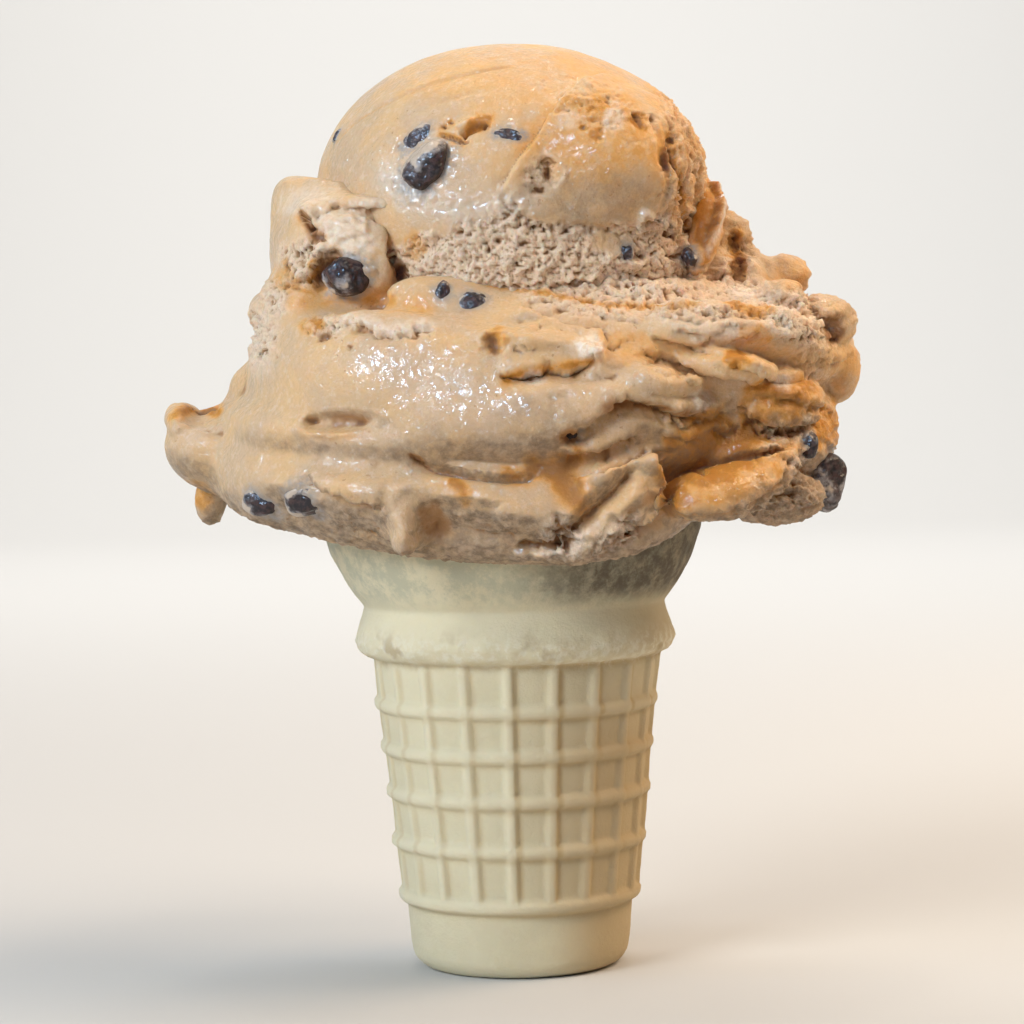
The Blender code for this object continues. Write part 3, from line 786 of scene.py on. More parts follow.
def scooped(name, soft_lumps, torn_lumps, voxels):
    """A scoop from its soft and its torn lumps; voxels are the sizes in millimetres for each."""
    bm = bmesh.new()
    soft_lumps(bm)
    soft = fused(name + "_soft", bm, voxels[0], SOFT_MELT)
    bm = bmesh.new()
    bm.from_mesh(soft.data)
    torn_lumps(bm)
    old = soft.data
    bpy.data.objects.remove(soft)
    bpy.data.meshes.remove(old)
    return fused(name, bm, voxels[1], TORN_MELT)


lower = scooped("lower_scoop", lower_soft_lumps, lower_torn_lumps, LOWER_VOXELS)
upper = scooped("upper_scoop", upper_soft_lumps, upper_torn_lumps, UPPER_VOXELS)
print("lower scoop:", len(lower.data.vertices), "points; upper scoop:", len(upper.data.vertices))

# %% [markdown]
# ## Brushes
# A sculptor works a scoop with brushes: a groove, a ridge, a pit, the free edge of a fold. Blender's sculpt
# mode needs a hand on the pen, so here a brush is a formula. A stroke is drawn on the front view as a few
# points, laid onto the skin by casting rays, and every point of the skin near it is pushed by an amount
# that depends on how far it is from the stroke, on which side, and how far along.

# %% A mesh as clay
FRONT = np.array((0.0, -1.0, 0.0))
STROKE_SPACING = 0.5
FAR_IN_FRONT = 200


def unit(vectors):
    """The same directions at length 1; the tiny addition spares a vector that has no length."""
    return vectors / (np.linalg.norm(vectors, axis=1)[:, None] + 1e-9)


class Stroke:
    """A drawn line laid on the skin: its points, the way out of the skin there, and the way across it."""

    def __init__(self, points, outward):
        self.points = points
        self.outward = outward
        heading = np.gradient(points, axis=0) if len(points) > 1 else np.array([[1.0, 0.0, 0.0]])
        self.over = unit(np.cross(outward, unit(heading)))
        self.along = np.linspace(0, 1, len(points)) if len(points) > 1 else np.array([0.5])


class Clay:
    """A mesh's points in millimetres from the cup's mouth, with brushes that push them about."""

    def __init__(self, obj):
        self.obj = obj
        mesh = obj.data
        self.points = np.empty(len(mesh.vertices) * 3)
        mesh.vertices.foreach_get("co", self.points)
        self.points = self.points.reshape(-1, 3) / MM - MOUTH
        mesh.calc_loop_triangles()
        self.faces = np.empty(len(mesh.loop_triangles) * 3, dtype=np.int32)
        mesh.loop_triangles.foreach_get("vertices", self.faces)
        self.faces = self.faces.reshape(-1, 3)
        self.skin = BVHTree.FromObject(obj, bpy.context.evaluated_depsgraph_get())
        self.find_normals()

    def find_normals(self):
        """Works out the outward direction at every point afresh."""
        a, b, c = (self.points[self.faces[:, k]] for k in range(3))
        face_normals = np.cross(b - a, c - a)
        self.normals = np.zeros_like(self.points)
        for k in range(3):
            for axis in range(3):
                self.normals[:, axis] += np.bincount(
                    self.faces[:, k], face_normals[:, axis], minlength=len(self.points))
        self.normals = unit(self.normals)

    def put_back(self):
        """Writes the points to the mesh."""
        self.obj.data.vertices.foreach_set("co", ((self.points + MOUTH) * MM).astype(np.float32).ravel())
        self.obj.data.update()

    def laid(self, drawn):
        """Lays (across, up) points onto the skin seen from the front; None if they all miss it."""
        length = sum(math.dist(a, b) for a, b in zip(drawn, drawn[1:]))
        count = max(1, round(length / STROKE_SPACING))
        points, outward = [], []
        for i in range(count + 1 if len(drawn) > 1 else 1):
            x, z = smooth_path(drawn, i / count) if len(drawn) > 1 else drawn[0]
            start = (MOUTH + np.array((x, -FAR_IN_FRONT, z))) * MM
            place, normal, _, _ = self.skin.ray_cast(Vector(start), Vector(-FRONT))
            if place is not None:
                points.append(np.array(place) / MM - MOUTH)
                outward.append(np.array(normal) + FRONT)
        if not points:
            return None
        outward = np.array(outward)
        return Stroke(np.array(points), outward / np.linalg.norm(outward, axis=1)[:, None])

    def near(self, stroke, reach, depth=5.0):
        """Points within reach of a stroke: numbers, distance, signed distance over it and share along."""
        low = stroke.points.min(axis=0) - reach - depth
        high = stroke.points.max(axis=0) + reach + depth
        which = np.flatnonzero(((self.points > low) & (self.points < high)).all(axis=1))
        place = self.points[which]
        squared = (place**2).sum(1)[:, None] - 2 * place @ stroke.points.T + (stroke.points**2).sum(1)[None]
        closest = squared.argmin(axis=1)
        offset = place - stroke.points[closest]
        outward = stroke.outward[closest]
        lift = (offset * outward).sum(1)
        offset = offset - lift[:, None] * outward
        distance = np.linalg.norm(offset, axis=1)
        side = (offset * stroke.over[closest]).sum(1)
        kept = (distance < reach) & (abs(lift) < depth) & ((self.normals[which] * outward).sum(1) > -0.3)
        closest = closest[kept]
        return which[kept], distance[kept], side[kept], stroke.along[closest], stroke.over[closest]

    def push(self, amount, which=slice(None)):
        """Moves the points, or only these numbers of them, along the skin's outward direction."""
        self.points[which] += self.normals[which] * amount[:, None]


def tapered(along, ends):
    """1 in the middle of a stroke, easing to 0 over this share at each end."""
    return ramp(along, 0, ends) * ramp(1 - along, 0, ends)


def in_oval(across, up, radii, turn):
    """Places along an oval's two axes, counted in its radii; turn is in degrees."""
    cos, sin = math.cos(math.radians(turn)), math.sin(math.radians(turn))
    return (across * cos + up * sin) / radii[0], (up * cos - across * sin) / radii[1]


# %% Groove, ridge, pit and the edge of a fold


def groove(clay, drawn, width, depth, ends, wobble, seed):
    """A furrow along a stroke; a negative depth makes a ridge."""
    stroke = clay.laid(drawn)
    if stroke is None:
        return
    which, distance, side, along, _ = clay.near(stroke, width * 2.5)
    shake = wobble * width * swell(clay.points[which], 2.2, seed)
    amount = -depth * bell(side + shake, width) * bell(distance - abs(side), width)
    clay.push(amount * tapered(along, ends), which)


def pit(clay, place, radii, depth, rim, turn, steep, seed, ragged=0.4):
    """A hole with a raised rim; radii are across and up, turned in degrees; ragged tears its edge."""
    stroke = clay.laid([place])
    if stroke is None:
        return
    which, _, _, _, _ = clay.near(stroke, max(radii) * 2.2)
    offset = clay.points[which] - stroke.points[0]
    tears = ragged * rough(clay.points[which], 0.8 * min(radii) + 0.5, 2, seed)
    away = np.hypot(*in_oval(offset[:, 0], offset[:, 2], radii, turn)) + tears
    bowl = 1 / (1 + np.maximum(away, 0) ** (2 * steep))
    edge = bell(away - 1.25, 0.28)
    clay.points[which] -= stroke.outward[0] * (depth * bowl * (1 + 0.9 * tears) - rim * edge)[:, None]


def fold_edge(clay, drawn, rise, reach, recess, recess_reach, crisp, hang, jag, jag_size, ends, seed):
    """The free edge of a fold. The skin above the stroke rises towards it and drops off sharply below it.

    Rise and recess are how far the skin goes out above the edge and in below it, and each has its reach.
    Crisp is how wide the step between them is, and hang is how far the edge sags. Jag and jag_size are
    how far and how often the edge wanders from the stroke.
    """
    stroke = clay.laid(drawn)
    if stroke is None:
        return
    which, distance, side, along, over = clay.near(stroke, max(reach * 2, recess_reach * 2.5) + 1)
    beyond_end = np.sqrt(np.maximum(distance**2 - side**2, 0))
    share = tapered(along, ends) * bell(beyond_end, 1.5)
    side = side + jag * swell(clay.points[which], jag_size, seed)
    side = side + 0.4 * jag * swell(clay.points[which], jag_size / 2.5, seed + 1)
    upper = ramp(side, -crisp, crisp)
    lip = upper * bell(np.maximum(side, 0), reach)
    below = (1 - upper) * bell(np.minimum(side, 0), recess_reach)
    clay.push(share * (rise * lip - recess * below), which)
    clay.points[which] -= over * (hang * share * bell(side - crisp, 2.2 * crisp))[:, None]


print("brushes are ready")

# %% [markdown]
# ## Carving the lower scoop
# The lower scoop was dragged out of the tub in several passes, so its front is a stack of smears: a broad
# wet roll with a slot in it, a skirt with a drip, torn shelves that run out to the right, a leaf folded up
# against the cup and a golden curl. Each is a short list of strokes, drawn as (across, up) places
# in millimetres from the cup's mouth. The numbers after a stroke are the brush's settings, in the order in
# which its definition names them.

# %% The broad roll: slot, crease and torn ridge
clay = Clay(lower)
clay.push(0.35 * swell(clay.points, 11.0, 41) + 0.12 * rough(clay.points, 4.0, 2, 43))
x, y, z = clay.points.T
on_roll = ramp(x, -22, -12) * ramp(-x, -16, -4) * ramp(-y, 16, 26)
clay.push(on_roll * (1.5 * bell(z - 4.5, 4.0) - 1.3 * bell(z - 15.0, 5.0)))
pit(clay, (-26.0, 6.7), (5.0, 1.45), 1.7, 0.5, 3, 2.2, 1, 0.08)
pit(clay, (-30.1, 6.9), (0.9, 0.8), 1.3, 0.0, 0, 1.6, 2, 0.15)
pit(clay, (-22.3, 5.9), (1.0, 0.7), 0.8, 0.0, 0, 2.0, 2, 0.1)
fold_edge(clay, [(-15.2, 1.5), (-11.3, 0.0), (-7.5, -0.8), (-2.1, -1.7), (4.5, -1.9)], 0.7, 3.0, 1.7, 1.3,
          0.35, 0.5, 0.15, 2.0, 0.12, 3)
pit(clay, (-14.0, 0.9), (1.5, 0.5), 1.2, 0.1, -25, 2.0, 4, 0.1)
fold_edge(clay, [(-25.4, 22.9), (-21.5, 21.1), (-18.0, 19.9), (-14.8, 20.3), (-11.2, 21.2)], 0.9, 1.5,
          0.9, 1.2, 0.35, 0.4, 0.9, 1.5, 0.12, 5)
pit(clay, (-28.2, 19.5), (1.3, 0.6), 1.3, 0.4, 25, 2.0, 6, 0.7)
pit(clay, (-29.9, 21.0), (0.9, 0.8), -0.7, 0.0, 0, 2.0, 6)
pit(clay, (-24.0, 17.8), (0.35, 0.35), 0.6, 0.0, 0, 2.0, 7)
pit(clay, (-2.0, 18.0), (1.7, 2.1), 1.7, 0.4, 25, 2.0, 8, 0.8)
pit(clay, (-1.0, 17.6), (0.7, 1.3), -0.9, 0.0, 15, 2.0, 8, 0.8)
groove(clay, [(-20, 14.6), (-8, 11), (2, 8)], 3.2, 0.35, 0.3, 0.5, 9)

# %% The skirt, its drip and the tongue
fold_edge(clay, [(-31.0, -0.6), (-28.9, -3.3), (-26.6, -3.9), (-22.7, -5.2), (-19.4, -6.3)], 0.9, 3.5,
          1.7, 2.6, 0.3, 0.5, 0.5, 1.4, 0.12, 11)
fold_edge(clay, [(-14.2, -6.4), (-10.8, -5.4), (-6.3, -5.4), (-1.0, -6.2)], 0.4, 3.0, 1.1, 3.0, 0.8, 0.2,
          0.3, 2.0, 0.15, 13)
pit(clay, (-11.8, -8.8), (2.4, 3.0), 2.0, 0.0, 25, 1.5, 14)
x, y, z = clay.points.T
# how low the skirt hangs at places across the front
SKIRT_ACROSS = (-40, -30, -20, -6, 8)
SKIRT_BOTTOMS = (-1.5, -4.5, -6.5, -6.0, -9.0)
skirt_bottom = np.interp(x, SKIRT_ACROSS, SKIRT_BOTTOMS)
drip = bell(x + 16.4, 2.6) * ramp(-y, 34, 37)
tucked = ramp(skirt_bottom - z, 0, 4.5) * ramp(x, -42, -32) * ramp(-x, -12, -2) * ramp(-y, 10, 24)
tucked *= 1 - drip
clay.points[:, 1] += 4.5 * tucked
pit(clay, (-48.8, 7.8), (3.6, 1.7), 2.2, 0.5, 0, 1.6, 15)
groove(clay, [(-49.5, 7.0), (-47.2, 5.6), (-45.2, 4.8)], 0.7, 0.6, 0.2, 0.3, 16)
pit(clay, (-37.3, 24.9), (1.3, 1.5), 1.1, 0.2, 0, 2.0, 17)
groove(clay, [(-39.6, 17.4), (-37.6, 17.2), (-35.4, 16.2)], 0.55, 0.5, 0.2, 0.4, 18)

# %% Torn shelves over the front
fold_edge(clay, [(-1.4, 13.6), (2.8, 14.0), (6.2, 15.1), (9.2, 14.6), (12.6, 15.8)], 1.1, 3.2, 2.0, 1.5,
          0.35, 0.7, 0.6, 1.5, 0.08, 21)
fold_edge(clay, [(14.6, 16.6), (14.2, 19.4), (11.0, 20.4), (6, 21.8), (1, 24.0)], 0.5, 2.4, 0.7, 1.4, 0.4,
          0.1, 0.6, 1.6, 0.12, 23)
groove(clay, [(-0.5, 12.5), (5, 13.1), (10, 13.0), (15, 12.6), (20, 14.0)], 1.3, 1.1, 0.2, 0.3, 25)
fold_edge(clay, [(7.4, 3.9), (11.1, 5.8), (13.7, 7.6), (16.3, 9.5), (18.6, 9.9), (21.9, 9.1), (24.8, 8.0),
                 (27.5, 7.3), (29.8, 8.6)], 1.3, 3.0, 2.8, 2.2, 0.3, 0.9, 0.7, 1.5, 0.08, 27)
groove(clay, [(16.0, 7.2), (20.5, 7.0), (25.0, 5.7)], 1.1, 0.7, 0.2, 0.3, 28)
pit(clay, (10.4, 4.0), (3.0, 1.1), 1.4, 0.2, 18, 2.0, 29)
pit(clay, (21.5, 2.4), (5.5, 3.0), 1.3, 0.0, 10, 1.4, 30)

# %% The leaf at the lower front
fold_edge(clay, [(8.0, 1.2), (11.5, 1.6), (14.4, 2.0), (17.0, 3.2), (19.4, 3.2)], 0.7, 1.6, 2.0, 1.9, 0.3,
          0.3, 0.45, 1.2, 0.1, 31)
fold_edge(clay, [(21.8, 0.9), (19.5, 0.1), (15.0, -1.6), (9.6, -3.0)], 1.5, 2.2, 1.0, 1.2, 0.3, 0.2, 0.3,
          1.5, 0.1, 33)
fold_edge(clay, [(18.6, -10.4), (21.6, -8.6), (22.7, -6.0), (22.3, -2.5), (21.5, 1.2)], 1.3, 2.2, 3.0,
          2.6, 0.3, 0.2, 0.3, 1.6, 0.08, 34)
groove(clay, [(18.8, -0.8), (15.2, -5.3), (12.3, -7.8), (8.8, -11.0)], 1.5, 2.8, 0.1, 0.3, 35)
groove(clay, [(12.8, -4.2), (10.2, -6.6), (7.8, -9.2)], 1.3, -0.8, 0.2, 0.3, 36)
groove(clay, [(20.0, -2.0), (18.4, -5.4), (15.0, -8.8)], 1.8, -0.6, 0.15, 0.4, 37)
fold_edge(clay, [(8.4, -15.6), (12.0, -14.0), (16.0, -11.8), (19.0, -10.0)], 0.5, 1.6, 1.6, 2.0, 0.3, 0.2,
          0.7, 1.2, 0.1, 38)
groove(clay, [(-0.4, -15.2), (4.5, -15.3), (8.6, -13.8)], 0.7, -1.3, 0.2, 0.4, 39)
groove(clay, [(0.6, -13.2), (4.5, -13.5), (7.6, -12.4)], 0.7, 1.5, 0.2, 0.4, 40)
groove(clay, [(6.6, -8.4), (8.0, -11.2), (9.4, -14.4)], 0.8, 1.8, 0.2, 0.6, 41)

# %% The right side: pleats, block, curl and hollows
fold_edge(clay, [(20.1, 16.5), (24.5, 15.6), (28.6, 13.6), (33.5, 12.6), (39.5, 11.2)], 0.8, 2.0, 0.7,
          1.4, 0.3, 0.3, 0.4, 1.6, 0.1, 41)
fold_edge(clay, [(21.5, 18.8), (27.6, 17.2), (33.4, 14.9)], 0.6, 1.8, 0.5, 1.2, 0.3, 0.2, 0.4, 1.6, 0.12, 43)
fold_edge(clay, [(34.5, 14.6), (37.0, 13.0), (41.5, 12.0), (48.2, 12.9)], 0.6, 3.2, 1.3, 2.0, 0.4, 0.4,
          0.4, 2.0, 0.1, 45)
fold_edge(clay, [(36.4, 6.5), (39.5, 5.4), (43.4, 5.1), (48.8, 5.5)], 0.7, 2.6, 1.7, 1.9, 0.35, 0.5, 0.4,
          1.4, 0.1, 47)
pit(clay, (30.2, 1.0), (5.6, 3.0), 1.0, 0.0, 25, 1.5, 49, 0.1)
groove(clay, [(37.4, 1.6), (42.3, 0.8), (47.5, 1.2)], 0.7, -1.0, 0.15, 0.8, 50)
fold_edge(clay, [(43.4, 0.6), (36.9, -0.9), (29.3, -2.8), (22.6, -4.4)], 0.8, 2.4, 1.6, 1.6, 0.35, 0.5,
          0.25, 2.0, 0.08, 51)
fold_edge(clay, [(23.0, -8.0), (31.0, -8.3), (38.3, -5.8), (42.6, -2.8)], 0.4, 2.0, 1.4, 2.0, 0.4, 0.3,
          0.3, 2.0, 0.1, 53)
groove(clay, [(28.0, -4.6), (28.3, -3.7), (29.2, -3.6), (29.7, -4.4)], 0.45, -0.4, 0.1, 0.1, 55)
fold_edge(clay, [(33.0, 43.4), (34.0, 40.6), (32.6, 36.0), (30.8, 32.0)], 0.8, 1.2, 1.0, 2.2, 0.3, 0.1,
          0.3, 1.4, 0.1, 56)
pit(clay, (36.2, 33.9), (1.0, 1.5), 1.9, 0.1, -10, 2.0, 56, 0.5)
pit(clay, (36.7, 29.7), (1.3, 2.6), 2.4, 0.1, -12, 2.0, 57, 0.5)
groove(clay, [(36.4, 34.6), (38.0, 33.2), (39.6, 32.0)], 0.45, 1.0, 0.15, 0.4, 56)
groove(clay, [(41.8, 30.8), (42.0, 27.5), (41.7, 24.3)], 0.9, 0.6, 0.15, 0.4, 57)
KNOBS = (
    ((44.4, 31.0), (1.4, 1.2)), ((47.2, 28.6), (1.6, 1.3)), ((45.6, 23.4), (1.6, 1.5)),
    ((41.5, 24.6), (1.6, 1.3)), ((43.4, 20.6), (1.6, 1.9)), ((50.8, 22.6), (2.0, 1.4)),
    ((37.0, 25.4), (2.0, 0.9)),
)
for place, radii in KNOBS:
    pit(clay, place, radii, -0.8, 0.0, 0, 1.6, 57, 0.7)
SIDE_CREASE = [(34.5, 23.6), (37.3, 22.2), (40.3, 22.6)]
groove(clay, SIDE_CREASE, 1.0, 1.5, 0.15, 0.5, 57)
pit(clay, (51.0, 19.2), (1.9, 2.2), 1.8, 0.3, 0, 2.0, 58)
pit(clay, (47.6, 24.2), (1.4, 1.8), 1.4, 0.3, 20, 2.0, 59)

# %% The ledge at the upper left
fold_edge(clay, [(-17.0, 40.2), (-22, 42.2), (-28, 43.9), (-35.3, 44.5)], 0.5, 2.0, 0.5, 1.2, 0.35, 0.2,
          0.3, 2.0, 0.1, 61)
fold_edge(clay, [(-32.6, 39.8), (-29.8, 38.9), (-26.6, 40.4), (-22.4, 40.2), (-17.6, 39.2)], 0.5, 2.0,
          0.7, 2.2, 0.35, 0.4, 0.5, 1.4, 0.12, 62)
groove(clay, [(-31.9, 39.2), (-31.0, 37.5), (-30.2, 36.0)], 0.55, 2.6, 0.12, 0.3, 63)
pit(clay, (-29.3, 35.3), (1.3, 1.0), 1.9, 0.1, -20, 2.0, 63)
pit(clay, (-29.3, 39.0), (0.5, 0.8), 1.0, 0.1, -20, 2.0, 64)
pit(clay, (-26.8, 40.2), (0.6, 0.4), 0.8, 0.1, 0, 2.0, 65)
pit(clay, (-28.2, 29.8), (1.4, 3.2), 2.8, 0.1, -26, 2.0, 66)
pit(clay, (-17.7, 32.6), (0.9, 1.9), 2.2, 0.2, 8, 2.0, 67)
groove(clay, [(-19.2, 37.0), (-18.9, 33.0), (-18.9, 29.4), (-19.6, 26.6)], 1.1, -0.8, 0.15, 0.4, 68)
groove(clay, [(-35.6, 33.6), (-32.5, 32.4), (-29.5, 33.0)], 0.8, 0.8, 0.2, 0.5, 69)
for place in ((-34.2, 31.2), (-32.4, 29.6), (-30.6, 31.6)):
    pit(clay, place, (1.5, 1.6), -0.9, 0.0, 0, 1.5, 70)
for drawn in ([(-27.0, 37.6), (-23.0, 38.2), (-19.4, 36.6)], [(-26.0, 34.6), (-22.6, 35.2), (-20.0, 34.0)]):
    fold_edge(clay, drawn, 0.35, 1.2, 0.3, 1.0, 0.3, 0.1, 0.5, 1.2, 0.3, 71)
fold_edge(clay, [(-25.0, 41.0), (-21.4, 40.4), (-17.2, 39.7)], 0.3, 1.0, 0.9, 1.6, 0.25, 0.3, 0.6, 1.2,
          0.1, 72)
print("carved", len(clay.points), "points of the lower scoop")

# %% [markdown]
# ## Torn and crumbly surfaces
# Ice cream that tears rather than smears shows layers drawn out sideways, and where it is coldest it breaks
# into crumbs. Layers are noise stretched along the pull and folded into ridges. Crumbs are lumps of folded
# noise in two sizes, with holes torn between them. A soft mask keeps both to the places that show them.

# %% Masks and layers


def zone(clay, place, radii, turn=0.0, edge=0.5, wander=0.25, seed=0):
    """1 inside an oval on the front, easing to 0 outside it with a wandering edge."""
    x, _, z = clay.points.T
    away = np.hypot(*in_oval(x - place[0], z - place[1], radii, turn))
    away = away + wander * swell(clay.points, 0.5 * min(radii) + 1.0, seed)
    return (1 - ramp(away, 1 - edge, 1 + edge)) * ramp(-clay.normals[:, 1], -0.35, 0.05)


def line_zone(clay, drawn, width, seed=0):
    """1 on a stroke, easing to 0 at its width."""
    stroke = clay.laid(drawn)
    mask = np.zeros(len(clay.points))
    if stroke is None:
        return mask
    which, distance, _, _, _ = clay.near(stroke, width * 2.2, 7.0)
    distance = distance * (1 + 0.3 * swell(clay.points[which], 1.5 * width + 0.5, seed))
    mask[which] = bell(distance, width)
    return mask


def layers(points, size=(15.0, 15.0, 2.2), seed=0):
    """Torn layers, from 0 in their cracks to 1 on their crests."""
    bent = points + 1.6 * drift(points, 8.0, seed)
    return 1 - np.minimum(np.abs(rough(bent, size, 2, seed + 5)) * 1.7, 1.0)


print("masks are ready")

# %% Short tears along the pull
TEAR_PATCHES = (
    # low corner, high corner, how many, length, heading, rise
    ((22, 4), (48, 26), 30, 8.0, -8, 0.75),
    ((0, 21), (30, 29), 16, 7.0, -6, 0.5),
    ((-2, 8), (24, 21), 12, 5.0, 6, 0.35),
    ((-37, 24), (-26, 34), 16, 3.0, 25, 0.42),
    ((-30, -14), (4, -9), 8, 6.0, -5, 0.4),
)


def scattered_tears(clay, low, high, count, length, heading, rise, seed):
    """Short ragged folds all over a patch of the front, most of them along the pull."""
    draw = np.random.default_rng(seed)
    for index in range(count):
        start = draw.uniform(low, high)
        turn = math.radians(heading + draw.normal(0, 14))
        reach = length * draw.uniform(0.5, 1.3)
        drawn = [start + reach * t * np.array((math.cos(turn), math.sin(turn))) + draw.normal(0, 0.35, 2)
                 for t in (0.0, 0.33, 0.66, 1.0)]
        height = rise * draw.uniform(0.5, 1.0)
        fold_edge(clay, drawn, height, 1.6, 0.8 * rise, 1.0, 0.25, 0.2, 0.6, 1.1, 0.3, seed + index)


for index, patch in enumerate(TEAR_PATCHES):
    scattered_tears(clay, *patch, seed=400 + 40 * index)
print("tears:", sum(patch[2] for patch in TEAR_PATCHES))

# %% Roughness of the lower scoop
FAINTEST_CRUMBS = 0.02
CRUMBLY_SPOTS = (
    ((29, 21.5), (5, 2.4), -5), ((43.5, 22.5), (5.5, 3.4), 10), ((46, 20), (4, 4), 0),
    ((-31.5, 31.0), (4.6, 4.0), 0), ((7.4, -11.8), (3.6, 3.6), 30), ((15.5, -11.5), (5.0, 2.2), 35),
    ((18, 25.5), (15, 4.0), -4), ((45, 8), (4, 3), 0), ((41.5, 3.1), (5, 2.2), 0),
    ((-28, 21.4), (3.4, 1.8), 0), ((44.6, -2.2), (3.0, 3.2), 0), ((37, 28), (5, 4), 0),
    ((-39, 20), (3, 5), 0), ((41, -7), (8, 4), 0), ((-36.5, 26), (2.5, 3), 0),
)
SMOOTH_LOBES = (
    ((42.3, 8.6), (6.6, 3.0), 4), ((30.5, 1.2), (7.5, 4.6), 20), ((38.5, 15.5), (9.0, 2.4), -6),
    ((54.5, 12.0), (3.4, 5.5), 0), ((43.8, 29.3), (4.4, 3.2), 0), ((32.0, -5.0), (10.0, 2.8), 8),
    ((-34.5, 42.5), (5.5, 3.4), 0), ((31.4, 37.0), (3.2, 6.5), 0), ((15, 8.0), (9, 3.5), 8),
    ((-18.9, 31), (1.4, 5.5), 0), ((30.0, 19.4), (8.0, 1.8), -8),
)


def smooth_lobes(clay):
    """Melted lobes that stay smooth among the torn cream."""
    return np.maximum.reduce([zone(clay, place, radii, turn, seed=91) for place, radii, turn in SMOOTH_LOBES])


def lower_crumbs(clay):
    """Where the lower scoop has broken into crumbs."""
    at_back = ramp(clay.points[:, 1], 4, 20) * ramp(swell(clay.points, 16.0, 73), 0.05, 0.5)
    below_skirt = 0.3 * ramp(-clay.normals[:, 2], 0.2, 0.7) * ramp(-clay.points[:, 2], 2, 7)
    spots = [zone(clay, place, radii, turn, seed=71) for place, radii, turn in CRUMBLY_SPOTS]
    return np.maximum.reduce([0.55 * at_back, below_skirt, *spots]) * (1 - 0.85 * smooth_lobes(clay))


def crumb_relief(points, seed):
    """Clumps of crumbs in several sizes, with holes torn between them, in millimetres."""
    relief = 0.8 * (clumps(points, (3.6, 3.6, 2.2), seed) - 0.45)
    relief += 0.45 * (clumps(points, 1.5, seed + 10) - 0.45)
    relief += 0.32 * rough(points, 0.9, 2, seed + 20)
    return relief - 1.0 * ramp(rough(points, (2.8, 2.8, 1.6), 3, seed + 30), 0.34, 0.74)


clay.find_normals()
x, y, z = clay.points.T
right_side = ramp(x, 22, 36) * ramp(y, -40, -20)
torn = np.maximum(0.65 * right_side, 0.75 * ramp(y, 4, 20)) * (1 - 0.8 * smooth_lobes(clay))
crumbly = lower_crumbs(clay)
clay.push(torn * (1.1 * layers(clay.points, seed=75) - 0.7))
clay.push(torn * 0.35 * (clumps(clay.points, (3.4, 3.4, 1.5), 81) - 0.5))
some = np.flatnonzero(crumbly > FAINTEST_CRUMBS)
clay.push(crumbly[some] * crumb_relief(clay.points[some], 77), some)
clay.push(0.06 * rough(clay.points, 1.6, 2, 79) * (0.5 + torn))
smooth_strip = zone(clay, (-18.9, 31), (1.6, 5.5), seed=83)
ledge_face = zone(clay, (-25.5, 34.3), (7.0, 5.2), -10, seed=82) * (1 - 0.8 * smooth_strip)
clay.push(0.8 * ledge_face * (clumps(clay.points, (4.0, 4.0, 2.4), 84) - 0.5))
WET_RUN = [(-21.0, 15.4), (-13.0, 13.4), (-7.0, 10.6), (0.0, 9.4)]
clay.push(0.16 * line_zone(clay, WET_RUN, 4.0, 85) * rough(clay.points, 2.0, 2, 86))
tongue_drop = zone(clay, (-49.2, -5.5), (5, 5), seed=87)
skirt_drop = zone(clay, (-16.4, -10.0), (3, 5), seed=88)
clay.push(0.14 * np.maximum(tongue_drop, skirt_drop) * rough(clay.points, 1.5, 2, 89))
clay.find_normals()
print(f"crumbly share of the lower scoop: {crumbly.mean():.2f}")

# %% [markdown]
# ## Carving the upper scoop
# The upper scoop is rounder. Melted cream has run smooth over its dome, a broad lap folds over the front
# right, and below both the cold inside shows as a band of crumbs. Long fine creases on the dome are where
# the scoop's rim dragged. Deep fissures open along the right, where the ball was bent.

# %% Lap, crack and fissures
upper_clay = Clay(upper)
upper_clay.push(0.3 * swell(upper_clay.points, 13.0, 101) + 0.08 * rough(upper_clay.points, 4.0, 2, 103))
fold_edge(upper_clay, [(18.6, 60.2), (13.5, 58.6), (9.6, 55.5), (6.3, 51.2), (3.6, 47.4), (1.1, 44.1),
                       (-0.4, 41.0)], 0.9, 3.2, 0.35, 1.2, 0.35, 0.2, 0.25, 2.5, 0.08, 105)
fold_edge(upper_clay, [(-0.4, 40.6), (2.2, 38.0), (6.0, 36.1), (11.3, 36.4), (16.0, 35.7), (20.7, 36.3),
                       (24.6, 38.8)], 0.3, 3.0, 0.35, 1.6, 0.6, 0.1, 0.7, 1.4, 0.08, 107)
groove(upper_clay, [(-6.8, 49.9), (-5.2, 50.8), (-3.7, 51.6), (-2.4, 51.2)], 0.55, 2.1, 0.1, 0.8, 109)
groove(upper_clay, [(-9.9, 50.5), (-8.2, 49.9), (-6.4, 49.0), (-5.2, 49.2)], 0.4, 1.2, 0.1, 0.6, 109)
groove(upper_clay, [(-7.6, 50.9), (-6.2, 51.7), (-4.6, 52.6)], 0.7, -0.5, 0.15, 0.6, 110)
pit(upper_clay, (-9.1, 51.5), (0.5, 0.4), 1.0, 0.15, 0, 2.0, 110)
pit(upper_clay, (-8.1, 52.2), (0.5, 0.35), 0.9, 0.15, 0, 2.0, 110)
pit(upper_clay, (5.0, 43.5), (2.7, 3.1), 0.7, 0.0, -10, 1.2, 111, 0.9)
HOOKED_RIDGE = [(6.0, 46.9), (7.2, 46.2), (9.2, 43.8), (7.7, 41.6)]
groove(upper_clay, HOOKED_RIDGE, 0.35, -0.45, 0.2, 0.3, 112)
pit(upper_clay, (6.6, 44.1), (0.45, 1.1), 1.3, 0.0, 0, 1.5, 113)
pit(upper_clay, (5.1, 41.2), (0.7, 0.4), 1.2, 0.0, 0, 1.5, 113)
